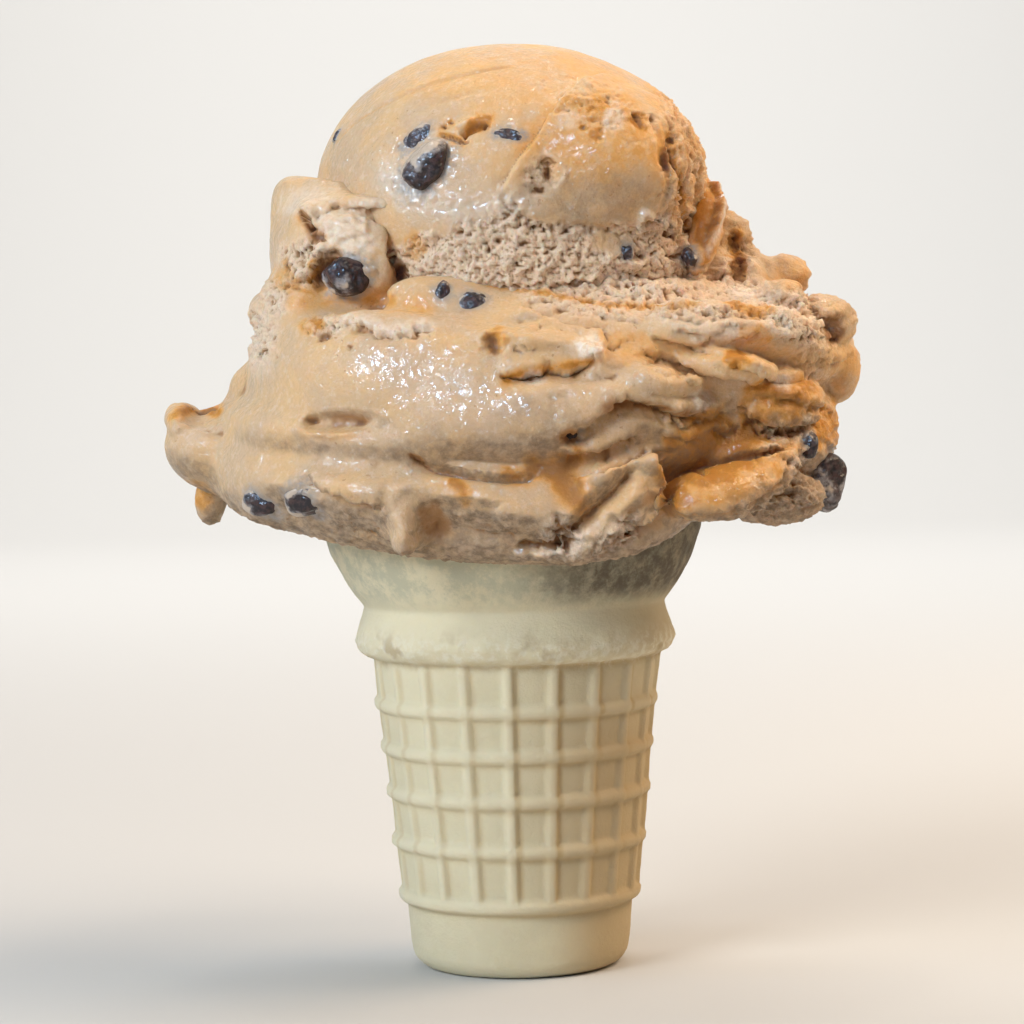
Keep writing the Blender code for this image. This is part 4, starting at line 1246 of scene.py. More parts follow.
fold_edge(upper_clay, [(-27.3, 50.4), (-22.6, 54.3), (-16.1, 57.1), (-8.2, 59.5), (2.7, 61.6)], 0.28, 2.0,
          0.12, 1.0, 0.25, 0.1, 0.3, 4.0, 0.1, 115)
groove(upper_clay, [(-25.1, 43.5), (-21.7, 48.7), (-16.1, 53.0), (-8.2, 56.0), (-0.5, 57.4)], 0.4, 0.2,
       0.2, 0.2, 116)
groove(upper_clay, [(-27.6, 46.0), (-24.6, 50.6), (-19.5, 54.0)], 0.4, 0.18, 0.2, 0.2, 116)
LONG_FISSURE = [(25.2, 50.3), (26.3, 44.9), (27.7, 39.0), (29.0, 33.9)]
FISSURES = (
    # stroke, width, depth
    (LONG_FISSURE, 0.7, 1.1),
    ([(28.7, 47.4), (29.8, 42.1), (30.6, 37.8)], 0.6, 1.0),
    ([(22.5, 53.4), (24.2, 48.6), (25.0, 42.5)], 0.6, 0.6),
)
for drawn, width, depth in FISSURES:
    groove(upper_clay, drawn, width, depth, 0.15, 1.1, 117)
POCKS = (
    # place, radii, depth
    ((20.6, 51.6), (0.7, 1.3), 1.1), ((12.0, 50.6), (0.6, 0.3), 0.4), ((14.6, 48.8), (0.6, 0.4), 0.4),
    ((14.8, 50.2), (0.4, 0.7), 0.4), ((13.6, 53.6), (0.9, 0.4), 0.5), ((16.0, 55.2), (0.4, 0.7), 0.5),
    ((24.6, 45.4), (0.9, 1.5), 1.3), ((25.2, 35.2), (1.0, 1.4), 1.2), ((-16.7, 29.6), (1.2, 1.3), 1.8),
)
for place, radii, depth in POCKS:
    pit(upper_clay, place, radii, depth, 0.1, 20, 2.0, 119)
PALE_CREST = [(20.5, 35.4), (21.2, 37.8), (23.0, 36.9), (25.2, 36.3), (26.0, 34.2)]
groove(upper_clay, PALE_CREST, 0.55, -1.1, 0.05, 0.4, 121)

# %% The crumb band
# how high the band reaches at places across the front
BAND_ACROSS = (-17.2, -13.2, -8.6, -3.9, 0.7, 3.7, 8.3, 14.4, 20.7, 25.5, 31)
BAND_TOPS = (33.6, 35.8, 35.2, 37.2, 39.0, 37.6, 36.2, 35.6, 35.8, 37.4, 41.0)


def crumb_band(clay):
    """Where the upper scoop's cold inside shows."""
    x, y, z = clay.points.T
    front_top = np.interp(x, BAND_ACROSS, BAND_TOPS)
    back_top = 35 + 2.5 * swell(clay.points, 18.0, 123)
    facing_front = ramp(-y, -6, 8)
    top = front_top * facing_front + back_top * (1 - facing_front) + 0.9 * rough(clay.points, 3.5, 2, 125)
    smooth_patch = zone(clay, (15.9, 33.4), (3.4, 1.9), -15, seed=127)
    pocked = zone(clay, (15.0, 53.6), (9.0, 3.4), -24, edge=0.6, wander=0.6, seed=129)
    cluster = zone(clay, (5.3, 43.5), (2.5, 3.0), -10, edge=0.25, seed=130)
    band = ramp(top - z, -0.4, 0.7) * (1 - 0.9 * smooth_patch)
    return np.maximum.reduce([band, 0.55 * pocked, 0.6 * cluster, 0.45 * right_strip(clay)])


def right_strip(clay):
    """The torn right side of the upper scoop."""
    return ramp(clay.points[:, 0], 22, 27) * ramp(-clay.points[:, 1], -25, -5)


def melted(clay):
    """The wet run of melted cream across the foot of the dome."""
    run = line_zone(clay, [(-18.0, 44.6), (-14.2, 40.6), (-7.5, 38.6), (-1.0, 39.0), (3.4, 40.4)], 2.6, 139)
    return np.maximum(run, 0.7 * line_zone(clay, HOOKED_RIDGE, 0.7, 140))


upper_clay.find_normals()
upper_clay.push(0.4 * melted(upper_clay) * (clumps(upper_clay.points, (2.6, 2.6, 1.8), 141) - 0.4))
upper_clay.find_normals()
band = crumb_band(upper_clay)
some = np.flatnonzero(band > FAINTEST_CRUMBS)
relief = crumb_relief(upper_clay.points[some], 131) + 0.3 * rough(upper_clay.points[some], 5.0, 2, 135)
upper_clay.push(band[some] * relief, some)
upright_layers = layers(upper_clay.points, (2.2, 2.2, 9.0), 137)
upper_clay.push(0.9 * right_strip(upper_clay) * (upright_layers - 0.6))
upper_clay.find_normals()
print(f"crumbly share of the upper scoop: {band.mean():.2f}")

# %% [markdown]
# ## Keeping the meshes light
# A voxel skin is equally fine everywhere, but a smooth dome needs few faces and a crumb needs many. The
# Decimate modifier takes away the faces whose loss shows least.

# %% Decimating
MOST_TRIANGLES = 190000


def thinned(clay):
    """The same scoop with no more than MOST_TRIANGLES, as new clay."""
    clay.put_back()
    count = 2 * len(clay.obj.data.polygons)  # each four-sided face is two triangles
    if count > MOST_TRIANGLES:
        thin = clay.obj.modifiers.new("Thin", "DECIMATE")
        thin.ratio = MOST_TRIANGLES / count
        frozen(clay.obj)
    clay.obj.data.shade_smooth()
    print(clay.obj.name, count, "->", len(clay.obj.data.polygons), "faces")
    return Clay(clay.obj)


lower_clay = thinned(clay)
upper_clay = thinned(upper_clay)

# %% [markdown]
# ## Where it is stained, hollow, pale or wet
# The finish changes from place to place: caramel has run into the folds, hollows are painted deep brown as
# the shade in them, torn tips are frosty and pale, and melted skin is wet. Undersides and other shaded places
# are painted dark as shade, and the right side is painted more golden as the warm light there. Each is a mask
# on the points of the mesh, from 0 to 1, that the shader reads. Stains and painted shade are drawn with the
# same kind of strokes as the carving.

# %% Masks for the ice cream's finish


def strongest(clay, spots=(), lines=()):
    """The strongest of some oval spots (place, radii, turn, strength) and lines (drawn, width, strength)."""
    mask = np.zeros(len(clay.points))
    for index, (place, radii, turn, strength) in enumerate(spots):
        spot = zone(clay, place, radii, turn, edge=0.4, wander=0.45, seed=150 + index)
        mask = np.maximum(mask, strength * spot)
    for index, (drawn, width, strength) in enumerate(lines):
        mask = np.maximum(mask, strength * line_zone(clay, drawn, width, 180 + index))
    return mask


CREASE_STEPS = 6
VALLEY_STEPS = 30
GRAIN_STEPS = 2


def sunken(clay, reach):
    """How far each point lies below its neighbours, in steps of the mesh, from the pull of its edges."""
    mesh = clay.obj.data
    edges = np.empty(len(mesh.edges) * 2, dtype=np.int32)
    mesh.edges.foreach_get("vertices", edges)
    a, b = edges.reshape(-1, 2).T
    count = np.bincount(a, minlength=len(clay.points)) + np.bincount(b, minlength=len(clay.points))
    smooth = clay.points.copy()
    for _ in range(reach):
        total = np.zeros_like(smooth)
        for axis in range(3):
            total[:, axis] = np.bincount(a, smooth[b, axis], len(smooth))
            total[:, axis] += np.bincount(b, smooth[a, axis], len(smooth))
        smooth = total / count[:, None]
    return ((smooth - clay.points) * clay.normals).sum(axis=1)


def stored(scoop, masks):
    """Paints the masks on a scoop and prints how much of it each one covers."""
    for name, mask in masks.items():
        paint(scoop.data, name, mask)
    print(scoop.name, {name: round(float(mask.mean()), 2) for name, mask in masks.items()})


x, y, z = lower_clay.points.T
right_side = ramp(x, 20, 38) * ramp(y, -42, -22)
lower_caramel_and_light = strongest(lower_clay, spots=(
    ((31.0, 1.0), (8.5, 5.2), 25, 1.0), ((42.3, 8.4), (7.4, 3.6), 5, 0.72),
    ((34.3, 14.7), (2.0, 1.6), 0, 1.0), ((54.5, 12.0), (3.6, 5.5), 0, 0.4),
    ((45.5, 29.0), (4.0, 3.4), 0, 0.4), ((6.8, -0.9), (3.0, 1.1), 15, 0.9),
    ((32.2, 37.6), (2.5, 6.4), -8, 1.0), ((37, 16.0), (10, 2.2), -6, 0.3),
    ((-34.5, 28.5), (2.0, 2.8), 40, 0.45), ((-30.0, 21.4), (2.4, 1.5), 0, 0.6),
    ((-28.2, 29.8), (2.2, 3.8), -26, 1.0), ((-1.9, 18.6), (1.8, 2.2), 0, 0.6),
    ((50.0, 4.0), (3.0, 4.5), 0, 0.7), ((-50.2, -5.0), (2.4, 3.0), 0, 0.7),
    ((18.0, 17.0), (8, 2.4), -5, 0.4), ((37.5, 18.5), (3, 1.6), 0, 0.6),
    ((25.2, -6.2), (3.0, 2.4), 15, 0.95),
), lines=(
    ([(-33, 25.0), (-25.9, 25.4), (-19.8, 25.2), (-12.5, 23.9)], 1.9, 0.55),
    ([(-34.8, 31.7), (-33.3, 28.8), (-31.4, 26.9), (-29.0, 26.9)], 0.9, 0.6),
    ([(-17.4, 35.0), (-17.6, 32.0), (-17.0, 29.0)], 0.9, 0.9),
    ([(-32.0, 38.8), (-30.9, 36.6), (-28.8, 34.4)], 1.2, 0.6),
    ([(-31.5, 5.0), (-27, 4.5), (-23, 4.6)], 1.0, 0.35),
    ([(3.0, -0.7), (6.5, -1.3), (9.6, 0.2)], 1.6, 1.0),
    ([(7.0, -1.4), (8.4, -3.4), (9.8, -5.6)], 2.6, 1.0),
    ([(-8.8, -2.6), (-7.4, -3.6), (-6.8, -5.6)], 1.1, 0.9),
    ([(-0.5, -1.9), (3.5, -1.7), (6.5, -0.8), (9.5, -0.2)], 1.5, 1.0),
    ([(-53.5, 8.2), (-50.5, 9.0), (-46.8, 8.2)], 1.6, 0.85),
    ([(25.0, -6.0), (32.0, -5.4), (38.0, -3.2), (42.6, -0.6)], 3.4, 0.58),
    ([(-0.6, 12.9), (5.5, 14.0), (12.2, 15.0)], 0.9, 0.8),
    ([(-2.6, 27.0), (6, 25.6), (14, 23.8), (22, 23.2), (29, 23.6)], 0.8, 0.7),
    (SIDE_CREASE, 1.3, 0.9),
    ([(36.2, 34.0), (36.7, 31.5), (36.9, 28.6)], 1.4, 0.9),
))
# painted warm light: the right front grows steadily more golden, as the warm lamps light it; the back is made
# warmer too
lower_caramel_and_light = np.maximum(lower_caramel_and_light, 0.15 * ramp(x, 2, 38) * ramp(y, -42, -22) + 0.2 * ramp(y, -5, 20))
# painted shade: creases and valleys, where points lie below their neighbours, are painted brown, and so are
# the pits, holes and grooves listed below
hollow_shade = ramp(sunken(lower_clay, CREASE_STEPS), 0.10, 0.60) * (1 - 0.5 * smooth_lobes(lower_clay))
hollow_shade = np.maximum(hollow_shade, 0.55 * right_side * ramp(sunken(lower_clay, VALLEY_STEPS), 0.25, 1.3))
lower_hollow_shade = np.maximum(strongest(lower_clay, spots=(
    ((-30.3, 6.9), (0.9, 0.7), 0, 0.75), ((-14.2, 1.0), (1.2, 0.5), -25, 0.8),
    ((-11.6, -8.8), (2.4, 3.0), 25, 0.5), ((-28.3, 29.8), (1.0, 2.6), -26, 0.9),
    ((-2.4, 17.8), (0.7, 1.6), 18, 0.75), ((36.2, 33.9), (0.9, 1.2), 0, 0.5),
    ((36.7, 29.7), (1.1, 2.2), -12, 0.6), ((51.2, 19.2), (1.8, 2.2), 0, 0.7),
    ((-17.7, 32.6), (0.6, 1.5), 8, 0.9), ((-29.2, 35.3), (1.0, 0.7), -20, 0.8),
    ((-24.0, 17.8), (0.35, 0.35), 0, 0.9), ((8.8, 3.6), (1.6, 1.2), 18, 0.8),
    ((-28.2, 19.4), (1.0, 0.4), 25, 0.7), ((6.6, -1.2), (3.0, 0.8), 15, 0.45),
), lines=(
    ([(-31.9, 39.1), (-31.0, 37.5), (-30.2, 36.0)], 0.45, 1.0),
    ([(14.5, 8.0), (18.6, 8.4), (22.5, 7.8), (27, 6.4)], 1.0, 0.75),
    ([(3.0, -0.9), (6.5, -1.5), (9.6, 0.0)], 1.3, 0.45),
    ([(7.2, -1.8), (8.4, -3.4), (9.6, -5.2)], 1.9, 0.4),
    ([(22.9, -4.0), (23.4, -6.2), (24.2, -8.4)], 0.9, 0.6),
)), 0.8 * hollow_shade)
lower_pale = strongest(lower_clay, spots=(
    ((12.0, 17.4), (2.3, 1.9), 0, 1.0), ((3.6, 12.5), (1.4, 1.2), 0, 0.9),
    ((29.2, 8.8), (1.6, 1.4), 0, 0.8), ((41.9, 11.2), (1.3, 1.2), 0, 0.9),
    ((7.6, -11.8), (3.2, 3.0), 30, 0.6), ((44.5, -1.8), (2.6, 2.4), 0, 0.5),
    ((45.6, 23.4), (1.8, 1.5), 0, 0.8), ((41.5, 24.6), (1.8, 1.2), 0, 0.7),
    ((43.4, 20.6), (1.8, 1.9), 0, 0.6), ((37.0, 25.4), (2.2, 0.9), -12, 0.8),
    ((-25.0, 35.6), (7.0, 4.2), -8, 0.6), ((-31.0, 41.0), (5.0, 2.4), 0, 0.45),
    ((19.5, 28.0), (7.0, 3.2), 0, 0.45), ((30.0, 19.4), (7.0, 1.8), -8, 0.4),
), lines=(
    ([(34.3, 42.6), (34.9, 40.0), (33.6, 35.6), (31.6, 31.8)], 0.6, 1.0),
    ([(-24.7, 22.7), (-21.5, 21.4), (-18.0, 20.4), (-14.8, 20.6), (-12.1, 21.1)], 1.0, 0.75),
    ([(0.4, -14.6), (4.5, -14.9), (8.2, -13.6)], 0.9, 0.7),
    ([(-19.2, 37.0), (-18.9, 33.0), (-18.9, 29.4)], 1.1, 0.45),
    ([(-21.4, 40.6), (-19.6, 39.9)], 1.1, 0.5),
    ([(36.5, 24.6), (39.5, 24.0), (42, 24.4)], 1.2, 0.6),
))
lower_crumbly = lower_crumbs(lower_clay)
# painted shade: cream that faces down, under the skirt and towards the bowl, is painted dark grey-brown
facing_down = -lower_clay.normals[:, 2]
under_skirt = ramp(facing_down, 0.0, 0.75) * ramp(-z, -2, 5)
at_the_bowl = 0.85 * ramp(facing_down, -0.15, 0.5) * ramp(-z, -13, -3)
lower_painted_shade = np.maximum(under_skirt, at_the_bowl)
# painted shade on the grey lump under the curl, the lower right of the roll and the skirt's lower face
lower_painted_shade = np.maximum(lower_painted_shade, strongest(lower_clay, spots=(
    ((42.0, -7.8), (9.0, 4.6), 0, 0.85), ((4.5, 6.6), (7.0, 3.0), -4, 0.4),
    ((-3.5, -11.0), (9.0, 3.4), 0, 0.7),
)))
# painted shade: a dark line down the groove on the right side
groove_shade_line = line_zone(lower_clay, [(41.7, 30.0), (41.8, 27.0), (41.6, 24.3)], 1.1, 191)
lower_painted_shade = np.maximum(lower_painted_shade, 0.5 * groove_shade_line)
lower_milky = strongest(lower_clay, lines=(([(-22.0, 40.2), (-19.6, 39.4), (-18.6, 36.6)], 1.8, 0.6),))
lower_broken = np.maximum(lower_crumbly, 0.8 * right_side * (1 - 0.5 * smooth_lobes(lower_clay)))
# painted shade in the gaps between crumbs; crumb crests that stand above their neighbours are made paler
grain_depth = sunken(lower_clay, GRAIN_STEPS)
lower_hollow_shade = np.maximum(lower_hollow_shade, 0.40 * lower_broken * ramp(grain_depth, 0.04, 0.20))
lower_pale = np.maximum(lower_pale, 0.3 * lower_crumbly * ramp(-grain_depth, 0.03, 0.15))
lower_wet = strongest(lower_clay, spots=(
    ((-23.0, 38.0), (3.0, 1.2), -20, 0.6), ((12.5, 17.0), (2.0, 1.6), 0, 0.7),
    ((30.0, 1.0), (6.0, 3.0), 20, 0.6), ((-12.5, 4.0), (2.5, 1.2), 0, 0.6),
    ((42.0, 9.0), (6.0, 3.0), 0, 0.4),
), lines=(
    (WET_RUN, 3.4, 1.0),
    ([(24.0, -6.4), (31.0, -5.6), (38.0, -3.2)], 2.6, 0.8),
    ([(-9.0, 22.0), (-2.0, 21.0)], 3.0, 0.5),
))
stored(lower, {
    "caramel_and_warm_light": lower_caramel_and_light, "hollow_shade": lower_hollow_shade, "pale": lower_pale, "crumbly": lower_crumbly,
    "painted_shade": lower_painted_shade, "milky": lower_milky, "broken": lower_broken, "wet": lower_wet,
})

# %% The same for the upper scoop
x, y, z = upper_clay.points.T
upper_caramel_and_light = strongest(upper_clay, spots=(
    ((4.0, 59.5), (22.0, 7.0), -4, 0.3), ((14.5, 49.5), (13.0, 9.0), -10, 0.5),
    ((29.0, 42.0), (4.0, 12.0), 0, 0.4), ((-4.2, 51.6), (2.3, 1.3), 20, 0.9),
    ((26.0, 56.0), (6.0, 8.0), 0, 0.35), ((20.6, 51.6), (1.2, 1.8), 20, 0.9),
    ((14.2, 49.4), (1.6, 1.3), 0, 0.8), ((12.0, 50.6), (0.9, 0.5), 0, 0.9),
    ((14.4, 54.2), (2.6, 1.2), 10, 0.7), ((-14.5, 33.5), (2.2, 2.2), 0, 0.5),
), lines=(
    ([(-9.8, 50.5), (-8.0, 50.0), (-6.2, 49.1)], 0.6, 0.8),
    ([(-9.4, 51.3), (-8.0, 52.3)], 0.6, 0.7),
    ([(-27.3, 50.0), (-22.6, 53.9), (-16.1, 56.7), (-8.2, 59.1), (2.7, 61.2)], 0.25, 0.4),
    (LONG_FISSURE, 0.9, 0.7),
))
# painted warm light: the right side grows more golden, as the warm lamps light it
upper_caramel_and_light = np.maximum(upper_caramel_and_light, 0.15 * ramp(x, 5, 28))
# painted shade in the upper scoop's pits, cracks and creases
upper_hollow_shade = np.maximum(strongest(upper_clay, spots=(
    ((-2.7, 51.3), (0.6, 0.5), 0, 1.0), ((6.6, 44.1), (0.4, 0.9), 0, 0.9),
    ((5.1, 41.2), (0.6, 0.4), 0, 0.9), ((-16.8, 29.5), (1.2, 1.3), 0, 1.0),
    ((24.6, 45.4), (0.8, 1.4), 0, 0.7), ((20.6, 51.6), (0.4, 0.9), 20, 0.6),
), lines=(
    ([(-5.6, 50.6), (-4.2, 51.4), (-3.0, 51.5)], 0.4, 0.7),
    ([(-8.2, 49.9), (-6.4, 49.0)], 0.3, 0.9),
)), 0.8 * ramp(sunken(upper_clay, CREASE_STEPS), 0.10, 0.50))
upper_pale = strongest(upper_clay, spots=(
    ((16.8, 52.2), (1.4, 2.4), -10, 0.6), ((9.6, 52.0), (1.8, 1.4), 30, 0.4),
    ((21.0, 29.0), (7.0, 3.6), 0, 0.45),
), lines=(
    (PALE_CREST, 0.8, 0.8),
))
upper_crumbly = crumb_band(upper_clay)
# painted shade under the lap's lower edge
upper_painted_shade = 0.5 * zone(upper_clay, (12.5, 39.5), (12.0, 4.5), -4, seed=190)
upper_broken = np.maximum(upper_crumbly, 0.8 * right_strip(upper_clay))
# painted shade in the gaps between crumbs; crumb crests that stand above their neighbours are made paler
grain_depth = sunken(upper_clay, GRAIN_STEPS)
upper_hollow_shade = np.maximum(upper_hollow_shade, 0.44 * upper_broken * ramp(grain_depth, 0.04, 0.16))
upper_pale = np.maximum(upper_pale, 0.35 * upper_crumbly * ramp(-grain_depth, 0.03, 0.13))
upper_wet = np.maximum(melted(upper_clay), strongest(upper_clay, spots=(
    ((0.0, 57.0), (14.0, 4.0), -5, 0.5), ((7.0, 49.0), (2.4, 3.0), 0, 0.5),
    ((-13.0, 42.0), (6.0, 5.0), 0, 0.8),
)))
stored(upper, {
    "caramel_and_warm_light": upper_caramel_and_light, "hollow_shade": upper_hollow_shade, "pale": upper_pale, "crumbly": upper_crumbly,
    "painted_shade": upper_painted_shade, "milky": melted(upper_clay), "broken": upper_broken, "wet": upper_wet,
})

# %% [markdown]
# ## Ice cream finish
# Light goes a little way into ice cream and comes out warmer, so the shader has subsurface scattering. Its
# colour is a pale coffee cream that drifts between cooler and warmer patches. The skin has melted to a thin
# wet film, which is a clear coat with a bump of its own: that breaks a window's reflection into sparkles.
# Crumbs are drier and paler, stains are caramel, hollows are painted a deep red brown as shade, and
# undersides are painted a dark grey brown as shade.

# %% Ice cream colours
CREAM_COOL = (0.64, 0.455, 0.29)
CREAM_WARM = (0.73, 0.48, 0.25)
GOLDEN = (0.77, 0.38, 0.085)
CARAMEL = (0.50, 0.205, 0.025)
CRUMB = (0.90, 0.71, 0.545)
SHADE_BROWN = (0.38, 0.185, 0.065)
# painted shade in the deepest hollows
DEEP_SHADE_BROWN = (0.16, 0.060, 0.016)
# painted shade for undersides and shaded places
SHADE_GREY_BROWN = (0.19, 0.135, 0.088)
FROST = (0.86, 0.76, 0.66)
MILK = (0.72, 0.62, 0.52)
FILM_GREY = (0.36, 0.335, 0.32)

ice_cream, tree, shader = new_material("coffee_ice_cream")
hollow_shade = painted(tree, "hollow_shade")
crumbly = painted(tree, "crumbly")
broken = painted(tree, "broken")
warmth = remap(tree, grain(tree, 9.0, 4.0, 0.6, distortion=0.4), 0.38, 0.64)
flecks = remap(tree, grain(tree, 1.2, 4.0, 0.7, seed=2.0), 0.50, 0.66)
uneven = remap(tree, grain(tree, 2.6, 4.0, 0.65, seed=4.0), 0.30, 0.62, 0.55, 1.0)
stain_and_light = times(tree, painted(tree, "caramel_and_warm_light"), uneven)
frosty = remap(tree, grain(tree, 0.9, 3.0, 0.6, seed=6.0), 0.32, 0.6, 0.5, 1.0)
blotchy = remap(tree, grain(tree, 1.8, 4.0, 0.7, seed=5.0), 0.34, 0.66, 0.45, 0.95)
smeared = remap(tree, grain(tree, 1.0, 3.0, 0.6, seed=18.0), 0.34, 0.6, 0.35, 0.9)
pore_patches = remap(tree, grain(tree, 11.0, 2.0, 0.5, seed=17.0), 0.50, 0.62)
small_pores = times(tree, remap(tree, grain(tree, 0.8, 2.0, 0.5, seed=16.0), 0.67, 0.72), pore_patches)
sandy = remap(tree, grain(tree, 0.45, 3.0, 0.7, seed=19.0), 0.46, 0.62)
tone = layered(
    tree, blended(tree, warmth, CREAM_COOL, CREAM_WARM),
    (times(tree, flecks, 0.2), FROST),
    (times(tree, crumbly, 0.8), CRUMB),
    # caramel stains, and the painted warm light on the right side
    (remap(tree, stain_and_light, 0.0, 0.65), GOLDEN),
    (remap(tree, stain_and_light, 0.38, 0.80, 0.0, 0.95), CARAMEL),
    (times(tree, painted(tree, "pale"), frosty), FROST),
    # painted shade on undersides and shaded places
    (times(tree, painted(tree, "painted_shade"), blotchy), SHADE_GREY_BROWN),
    (times(tree, painted(tree, "milky"), 0.6), MILK),
    (times(tree, painted(tree, "halo"), smeared), FILM_GREY),
    # painted shade: brown in hollows, darkest in the deepest, and in the small pores and sandy grain of
    # broken cream
    (times(tree, remap(tree, hollow_shade, 0.0, 0.6), 0.85), SHADE_BROWN),
    (remap(tree, hollow_shade, 0.45, 1.0, 0.0, 0.9), DEEP_SHADE_BROWN),
    (times(tree, small_pores, 0.5), SHADE_BROWN),
    (times(tree, sandy, remap(tree, broken, 0.0, 1.0, 0.10, 0.20)), SHADE_BROWN),
)
tree.links.new(tone, shader.inputs["Base Color"])
print("colours are mixed by", len(tree.nodes), "nodes")

# %% Ice cream gloss and grain
shader.inputs["Subsurface Weight"].default_value = 0.4
shader.inputs["Subsurface Radius"].default_value = (1.0, 0.55, 0.30)
shader.inputs["Subsurface Scale"].default_value = 0.0010
wet_patches = remap(tree, grain(tree, 7.0, 3.0, 0.6, seed=8.0), 0.36, 0.58, 0.12, 0.45)
dry = times(tree, crumbly, 0.95)
wet = add(tree, "Math", {0: wet_patches, 1: painted(tree, "wet")}, operation="MAXIMUM").outputs[0]
wet = times(tree, wet, minus(tree, 1.0, dry))
tree.links.new(wet, shader.inputs["Coat Weight"])
shader.inputs["Coat Roughness"].default_value = 0.05
shader.inputs["Coat IOR"].default_value = 1.5
shader.inputs["Specular IOR Level"].default_value = 0.22
tree.links.new(remap(tree, wet, 0.0, 1.0, 0.75, 0.45), shader.inputs["Roughness"])
fine = grain(tree, 0.5, 4.0, 0.65, seed=10.0)
body_height = plus(tree, fine, times(tree, grain(tree, 1.5, 3.0, 0.55, seed=12.0), 0.9))
body_height = minus(tree, body_height, small_pores)
grain_strength = remap(tree, broken, 0.0, 1.0, 0.36, 1.0)
tree.links.new(relief_of(tree, body_height, grain_strength, 0.42), shader.inputs["Normal"])
film_height = grain(tree, 1.7, 1.5, 0.5, seed=14.0, distortion=1.0)
tree.links.new(relief_of(tree, film_height, 1.0, 0.8), shader.inputs["Coat Normal"])
for scoop in (lower, upper):
    scoop.data.materials.clear()
    scoop.data.materials.append(ice_cream)
print("ice cream finish:", len(tree.nodes), "nodes")

# %% [markdown]
# ## Fudge
# Fudge pieces are broken lumps, nearly black, with a wet shine. Melted cream has crept over them: thin it is
# a grey film, which also stands in for part of the fudge's bluish sheen as a painted highlight, and thick it
# hides the fudge. A lump starts as a ball that flat sides cut, as if each break had gone straight through,
# and a soft blend between the sides keeps the edges blunt.

# %% Fudge pieces
# name: middle from the mouth, radii, turns in degrees, and the direction from which melted cream covers it
CHUNKS = {
    # fudge_right's film faces the front low down, where its highlight shows: partly cream, partly a painted
    # highlight
    "fudge_right": ((49.0, -13, -4.3), (4.0, 4.2, 5.0), (0, 15, 0), (-0.35, -0.55, -0.35)),
    "fudge_left": ((-25, -25.0, 28.7), (4.3, 3.6, 3.3), (0, -20, 0), (-0.7, -0.2, -0.5)),
    "fudge_dome": ((-12.3, -27.2, 44.9), (5.2, 3.3, 3.3), (0, -38, 0), (-0.6, -0.1, 0.8)),
}
# name: its scoop, its place on the front, half its width and height, its turn, and how far it stands out
CHIPS = {
    "sliver_dome": (upper_clay, (0.8, 49.9), (2.6, 1.3), -8, 0.35),
    "streak_dome": (upper_clay, (-13.4, 49.8), (3.3, 2.1), 35, 0.4),
    "streak_left": (upper_clay, (-26.5, 51.8), (1.5, 0.8), 50, 0.2),
    "chip_band": (upper_clay, (18.3, 31.8), (1.4, 1.7), 0, 0.7),
    "chip_strip": (lower_clay, (28.6, 31.0), (1.5, 1.9), 10, 0.8),
    "chip_ridge": (lower_clay, (-9.8, 26.1), (1.4, 2.0), -10, 0.45),
    "chip_roll": (lower_clay, (-5.3, 24.4), (2.4, 2.0), 25, 0.45),
    "chip_skirt_low": (lower_clay, (-38.0, -6.1), (3.8, 2.5), -15, 0.8),
    "chip_skirt": (lower_clay, (-31.4, -5.7), (4.0, 3.2), 0, 0.9),
    "chip_shelf": (lower_clay, (9.0, 3.9), (3.0, 1.6), 25, 0.4),
    "chip_right": (lower_clay, (46.6, 1.0), (2.2, 2.3), 20, 0.9),
}
FLAT_SIDES = 18
BLUNTNESS = 9
FIRST_SEED = 3
fudge_places = []


def broken_lump(name, middle, turned, radii, covered=None, detail=5, uneven=0.12):
    """A lump with blunt flat sides; cream creeps over it from the covered side, or from all round its rim."""
    draw = np.random.default_rng(len(fudge_places) + FIRST_SEED)
    sides = draw.normal(size=(FLAT_SIDES, 3))
    sides /= np.linalg.norm(sides, axis=1)[:, None]
    depths = draw.uniform(0.60, 0.95, FLAT_SIDES)
    bm = bmesh.new()
    bmesh.ops.create_icosphere(bm, subdivisions=detail, radius=1.0)
    ball = np.array([vert.co for vert in bm.verts])
    toward = np.maximum(ball @ sides.T, 0.0) / depths
    shape = 1 / ((toward**BLUNTNESS).sum(axis=1) + 1) ** (1 / BLUNTNESS)
    seeded = ball + np.array(middle)
    shape *= 1 + uneven * rough(seeded, 1.1, 3, 203) - 0.12 * ramp(swell(seeded, 0.5, 205), 0.35, 0.8)
    points = ball * shape[:, None]
    points /= np.abs(points).max(axis=0)
    if covered:
        cover = points @ np.array(turned.inverted() @ Vector(covered))
    else:
        cover = 1.5 * (np.hypot(points[:, 0], points[:, 1]) - 0.45)
    place = Matrix.LocRotScale(Vector(MOUTH + middle) * MM, turned, Vector(radii) * MM)
    fudge_places.append(np.array(place.inverted()))
    for vert, point in zip(bm.verts, points):
        vert.co = place @ Vector(point)
    mesh = bpy.data.meshes.new(name)
    bm.to_mesh(mesh)
    bm.free()
    mesh.shade_smooth()
    paint(mesh, "film", ramp(cover + 0.55 * rough(seeded, 0.7, 3, 207), 0.0, 0.8))
    return link(name, mesh)


def chip(name, clay, place, half_size, turn, stands_out):
    """A small lump pressed into the skin, seen at place from the front."""
    stroke = clay.laid([place])
    outward = Vector(stroke.outward[0])
    across = Vector((0, 0, 1)).cross(outward).normalized()
    axes = Matrix((across, outward.cross(across), outward)).transposed()
    turned = (axes @ Matrix.Rotation(math.radians(turn), 3, "Z")).to_quaternion()
    thick = 2.0 * stands_out
    middle = stroke.points[0] - stroke.outward[0] * (thick - stands_out)
    return broken_lump(name, middle, turned, (*half_size, thick), detail=4, uneven=0.13)


print("fudge:", len(CHUNKS), "chunks and", len(CHIPS), "chips")

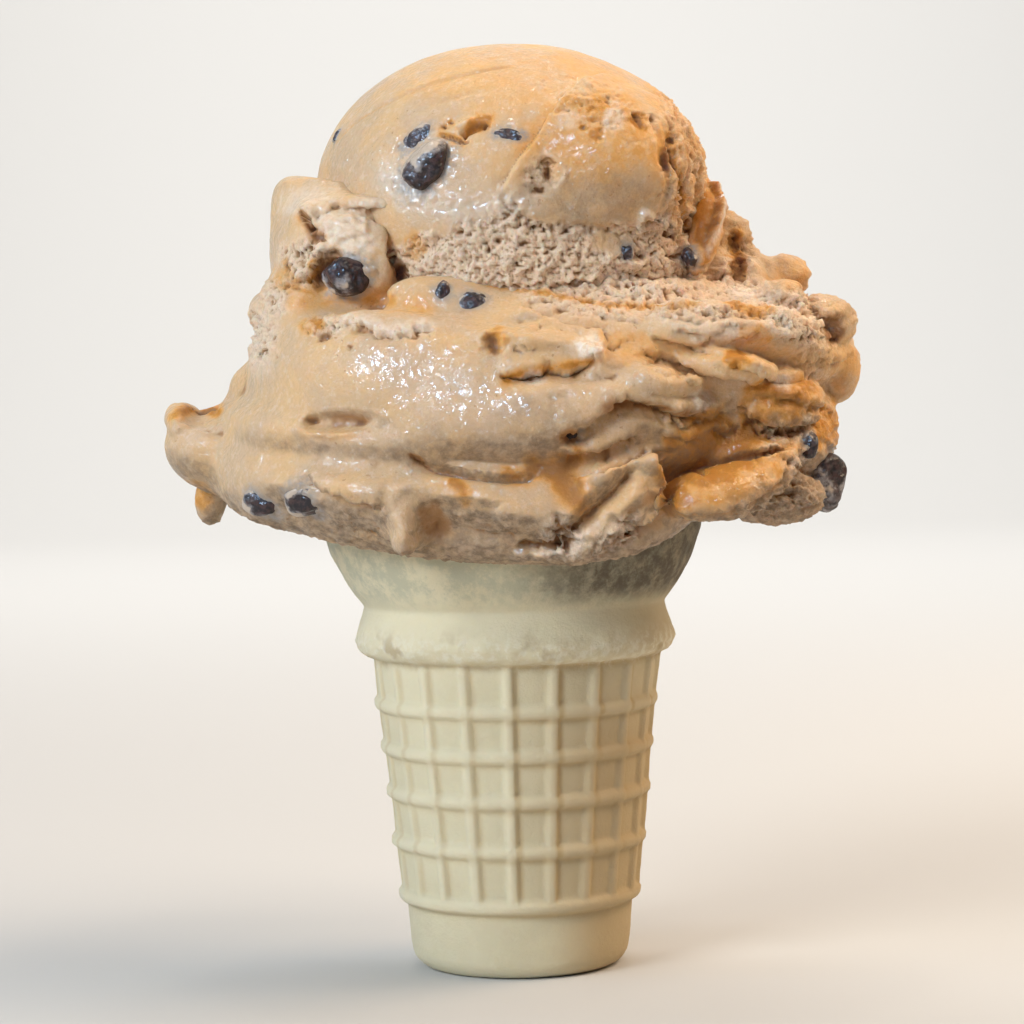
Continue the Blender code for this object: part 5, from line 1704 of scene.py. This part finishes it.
# %% Fudge material
FUDGE_DARK = (0.013, 0.006, 0.007)
FUDGE_BROWN = (0.065, 0.030, 0.028)
# partly a thin cream film, partly a painted bluish sheen
THIN_FILM_AND_SHEEN = (0.345, 0.325, 0.335)
THICK_CREAM = (0.55, 0.45, 0.36)

fudge, tree, shader = new_material("fudge")
film = painted(tree, "film")
crystals = remap(tree, grain(tree, 1.1, 3.0, 0.6, seed=22.0), 0.4, 0.65)
torn_film = remap(tree, grain(tree, 1.6, 4.0, 0.65, seed=21.0), 0.42, 0.62, 0.1, 0.9)
tone = layered(
    tree, blended(tree, crystals, FUDGE_DARK, FUDGE_BROWN),
    # the thin grey film is partly cream and partly a painted bluish sheen
    (times(tree, remap(tree, film, 0.1, 0.7), torn_film), THIN_FILM_AND_SHEEN),
    (remap(tree, film, 0.72, 0.98), THICK_CREAM),
)
tree.links.new(tone, shader.inputs["Base Color"])
shader.inputs["Roughness"].default_value = 0.6
shader.inputs["Specular IOR Level"].default_value = 0.25
shader.inputs["Coat Weight"].default_value = 0.6
shader.inputs["Coat Roughness"].default_value = 0.1
fudge_grain = plus(tree, grain(tree, 0.7, 3.0, 0.6, seed=23.0), times(tree, film, 0.6))
tree.links.new(relief_of(tree, fudge_grain, 0.7, 0.35), shader.inputs["Normal"])
wet_height = grain(tree, 1.1, 2.0, 0.5, seed=24.0)
tree.links.new(relief_of(tree, wet_height, 1.0, 0.7), shader.inputs["Coat Normal"])

fudge_pieces = []
for name, (middle, radii, turn, covered) in CHUNKS.items():
    turned = Euler([math.radians(a) for a in turn]).to_quaternion()
    piece = broken_lump(name + "_lump", np.array(middle), turned, radii, covered)
    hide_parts(name)
    fudge_pieces.append(piece)
for name, facts in CHIPS.items():
    fudge_pieces.append(chip(name, *facts))
for piece in fudge_pieces:
    piece.data.materials.append(fudge)
    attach(piece, "root")
print("fudge pieces:", len(fudge_pieces))

# %% The smeared ring of melted cream round each piece
RING_START = 0.9
RING_REACH = 1.45


def rings_round_fudge(clay):
    """1 at a fudge piece's own size, easing to 0 a little way out."""
    world = (clay.points + MOUTH) * MM
    halo = np.zeros(len(world))
    for inverse in fudge_places:
        local = world @ inverse[:3, :3].T + inverse[:3, 3]
        away = np.linalg.norm(local, axis=1) + 0.25 * swell(clay.points, 1.2, 195)
        halo = np.maximum(halo, 1 - ramp(away, RING_START, RING_REACH))
    return halo


for clay_part in (lower_clay, upper_clay):
    paint(clay_part.obj.data, "halo", rings_round_fudge(clay_part))
print("rings round", len(fudge_places), "pieces")

# %% [markdown]
# ## Attaching the pieces
# Every piece rides on the one body, and the solid it stands for is hidden. The finished pieces are built to
# the solids' sizes.

# %% The scoops stand for their solids
for piece, node in ((lower, "scoop_lower"), (upper, "scoop_upper")):
    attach(piece, "root")
    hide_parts(node)
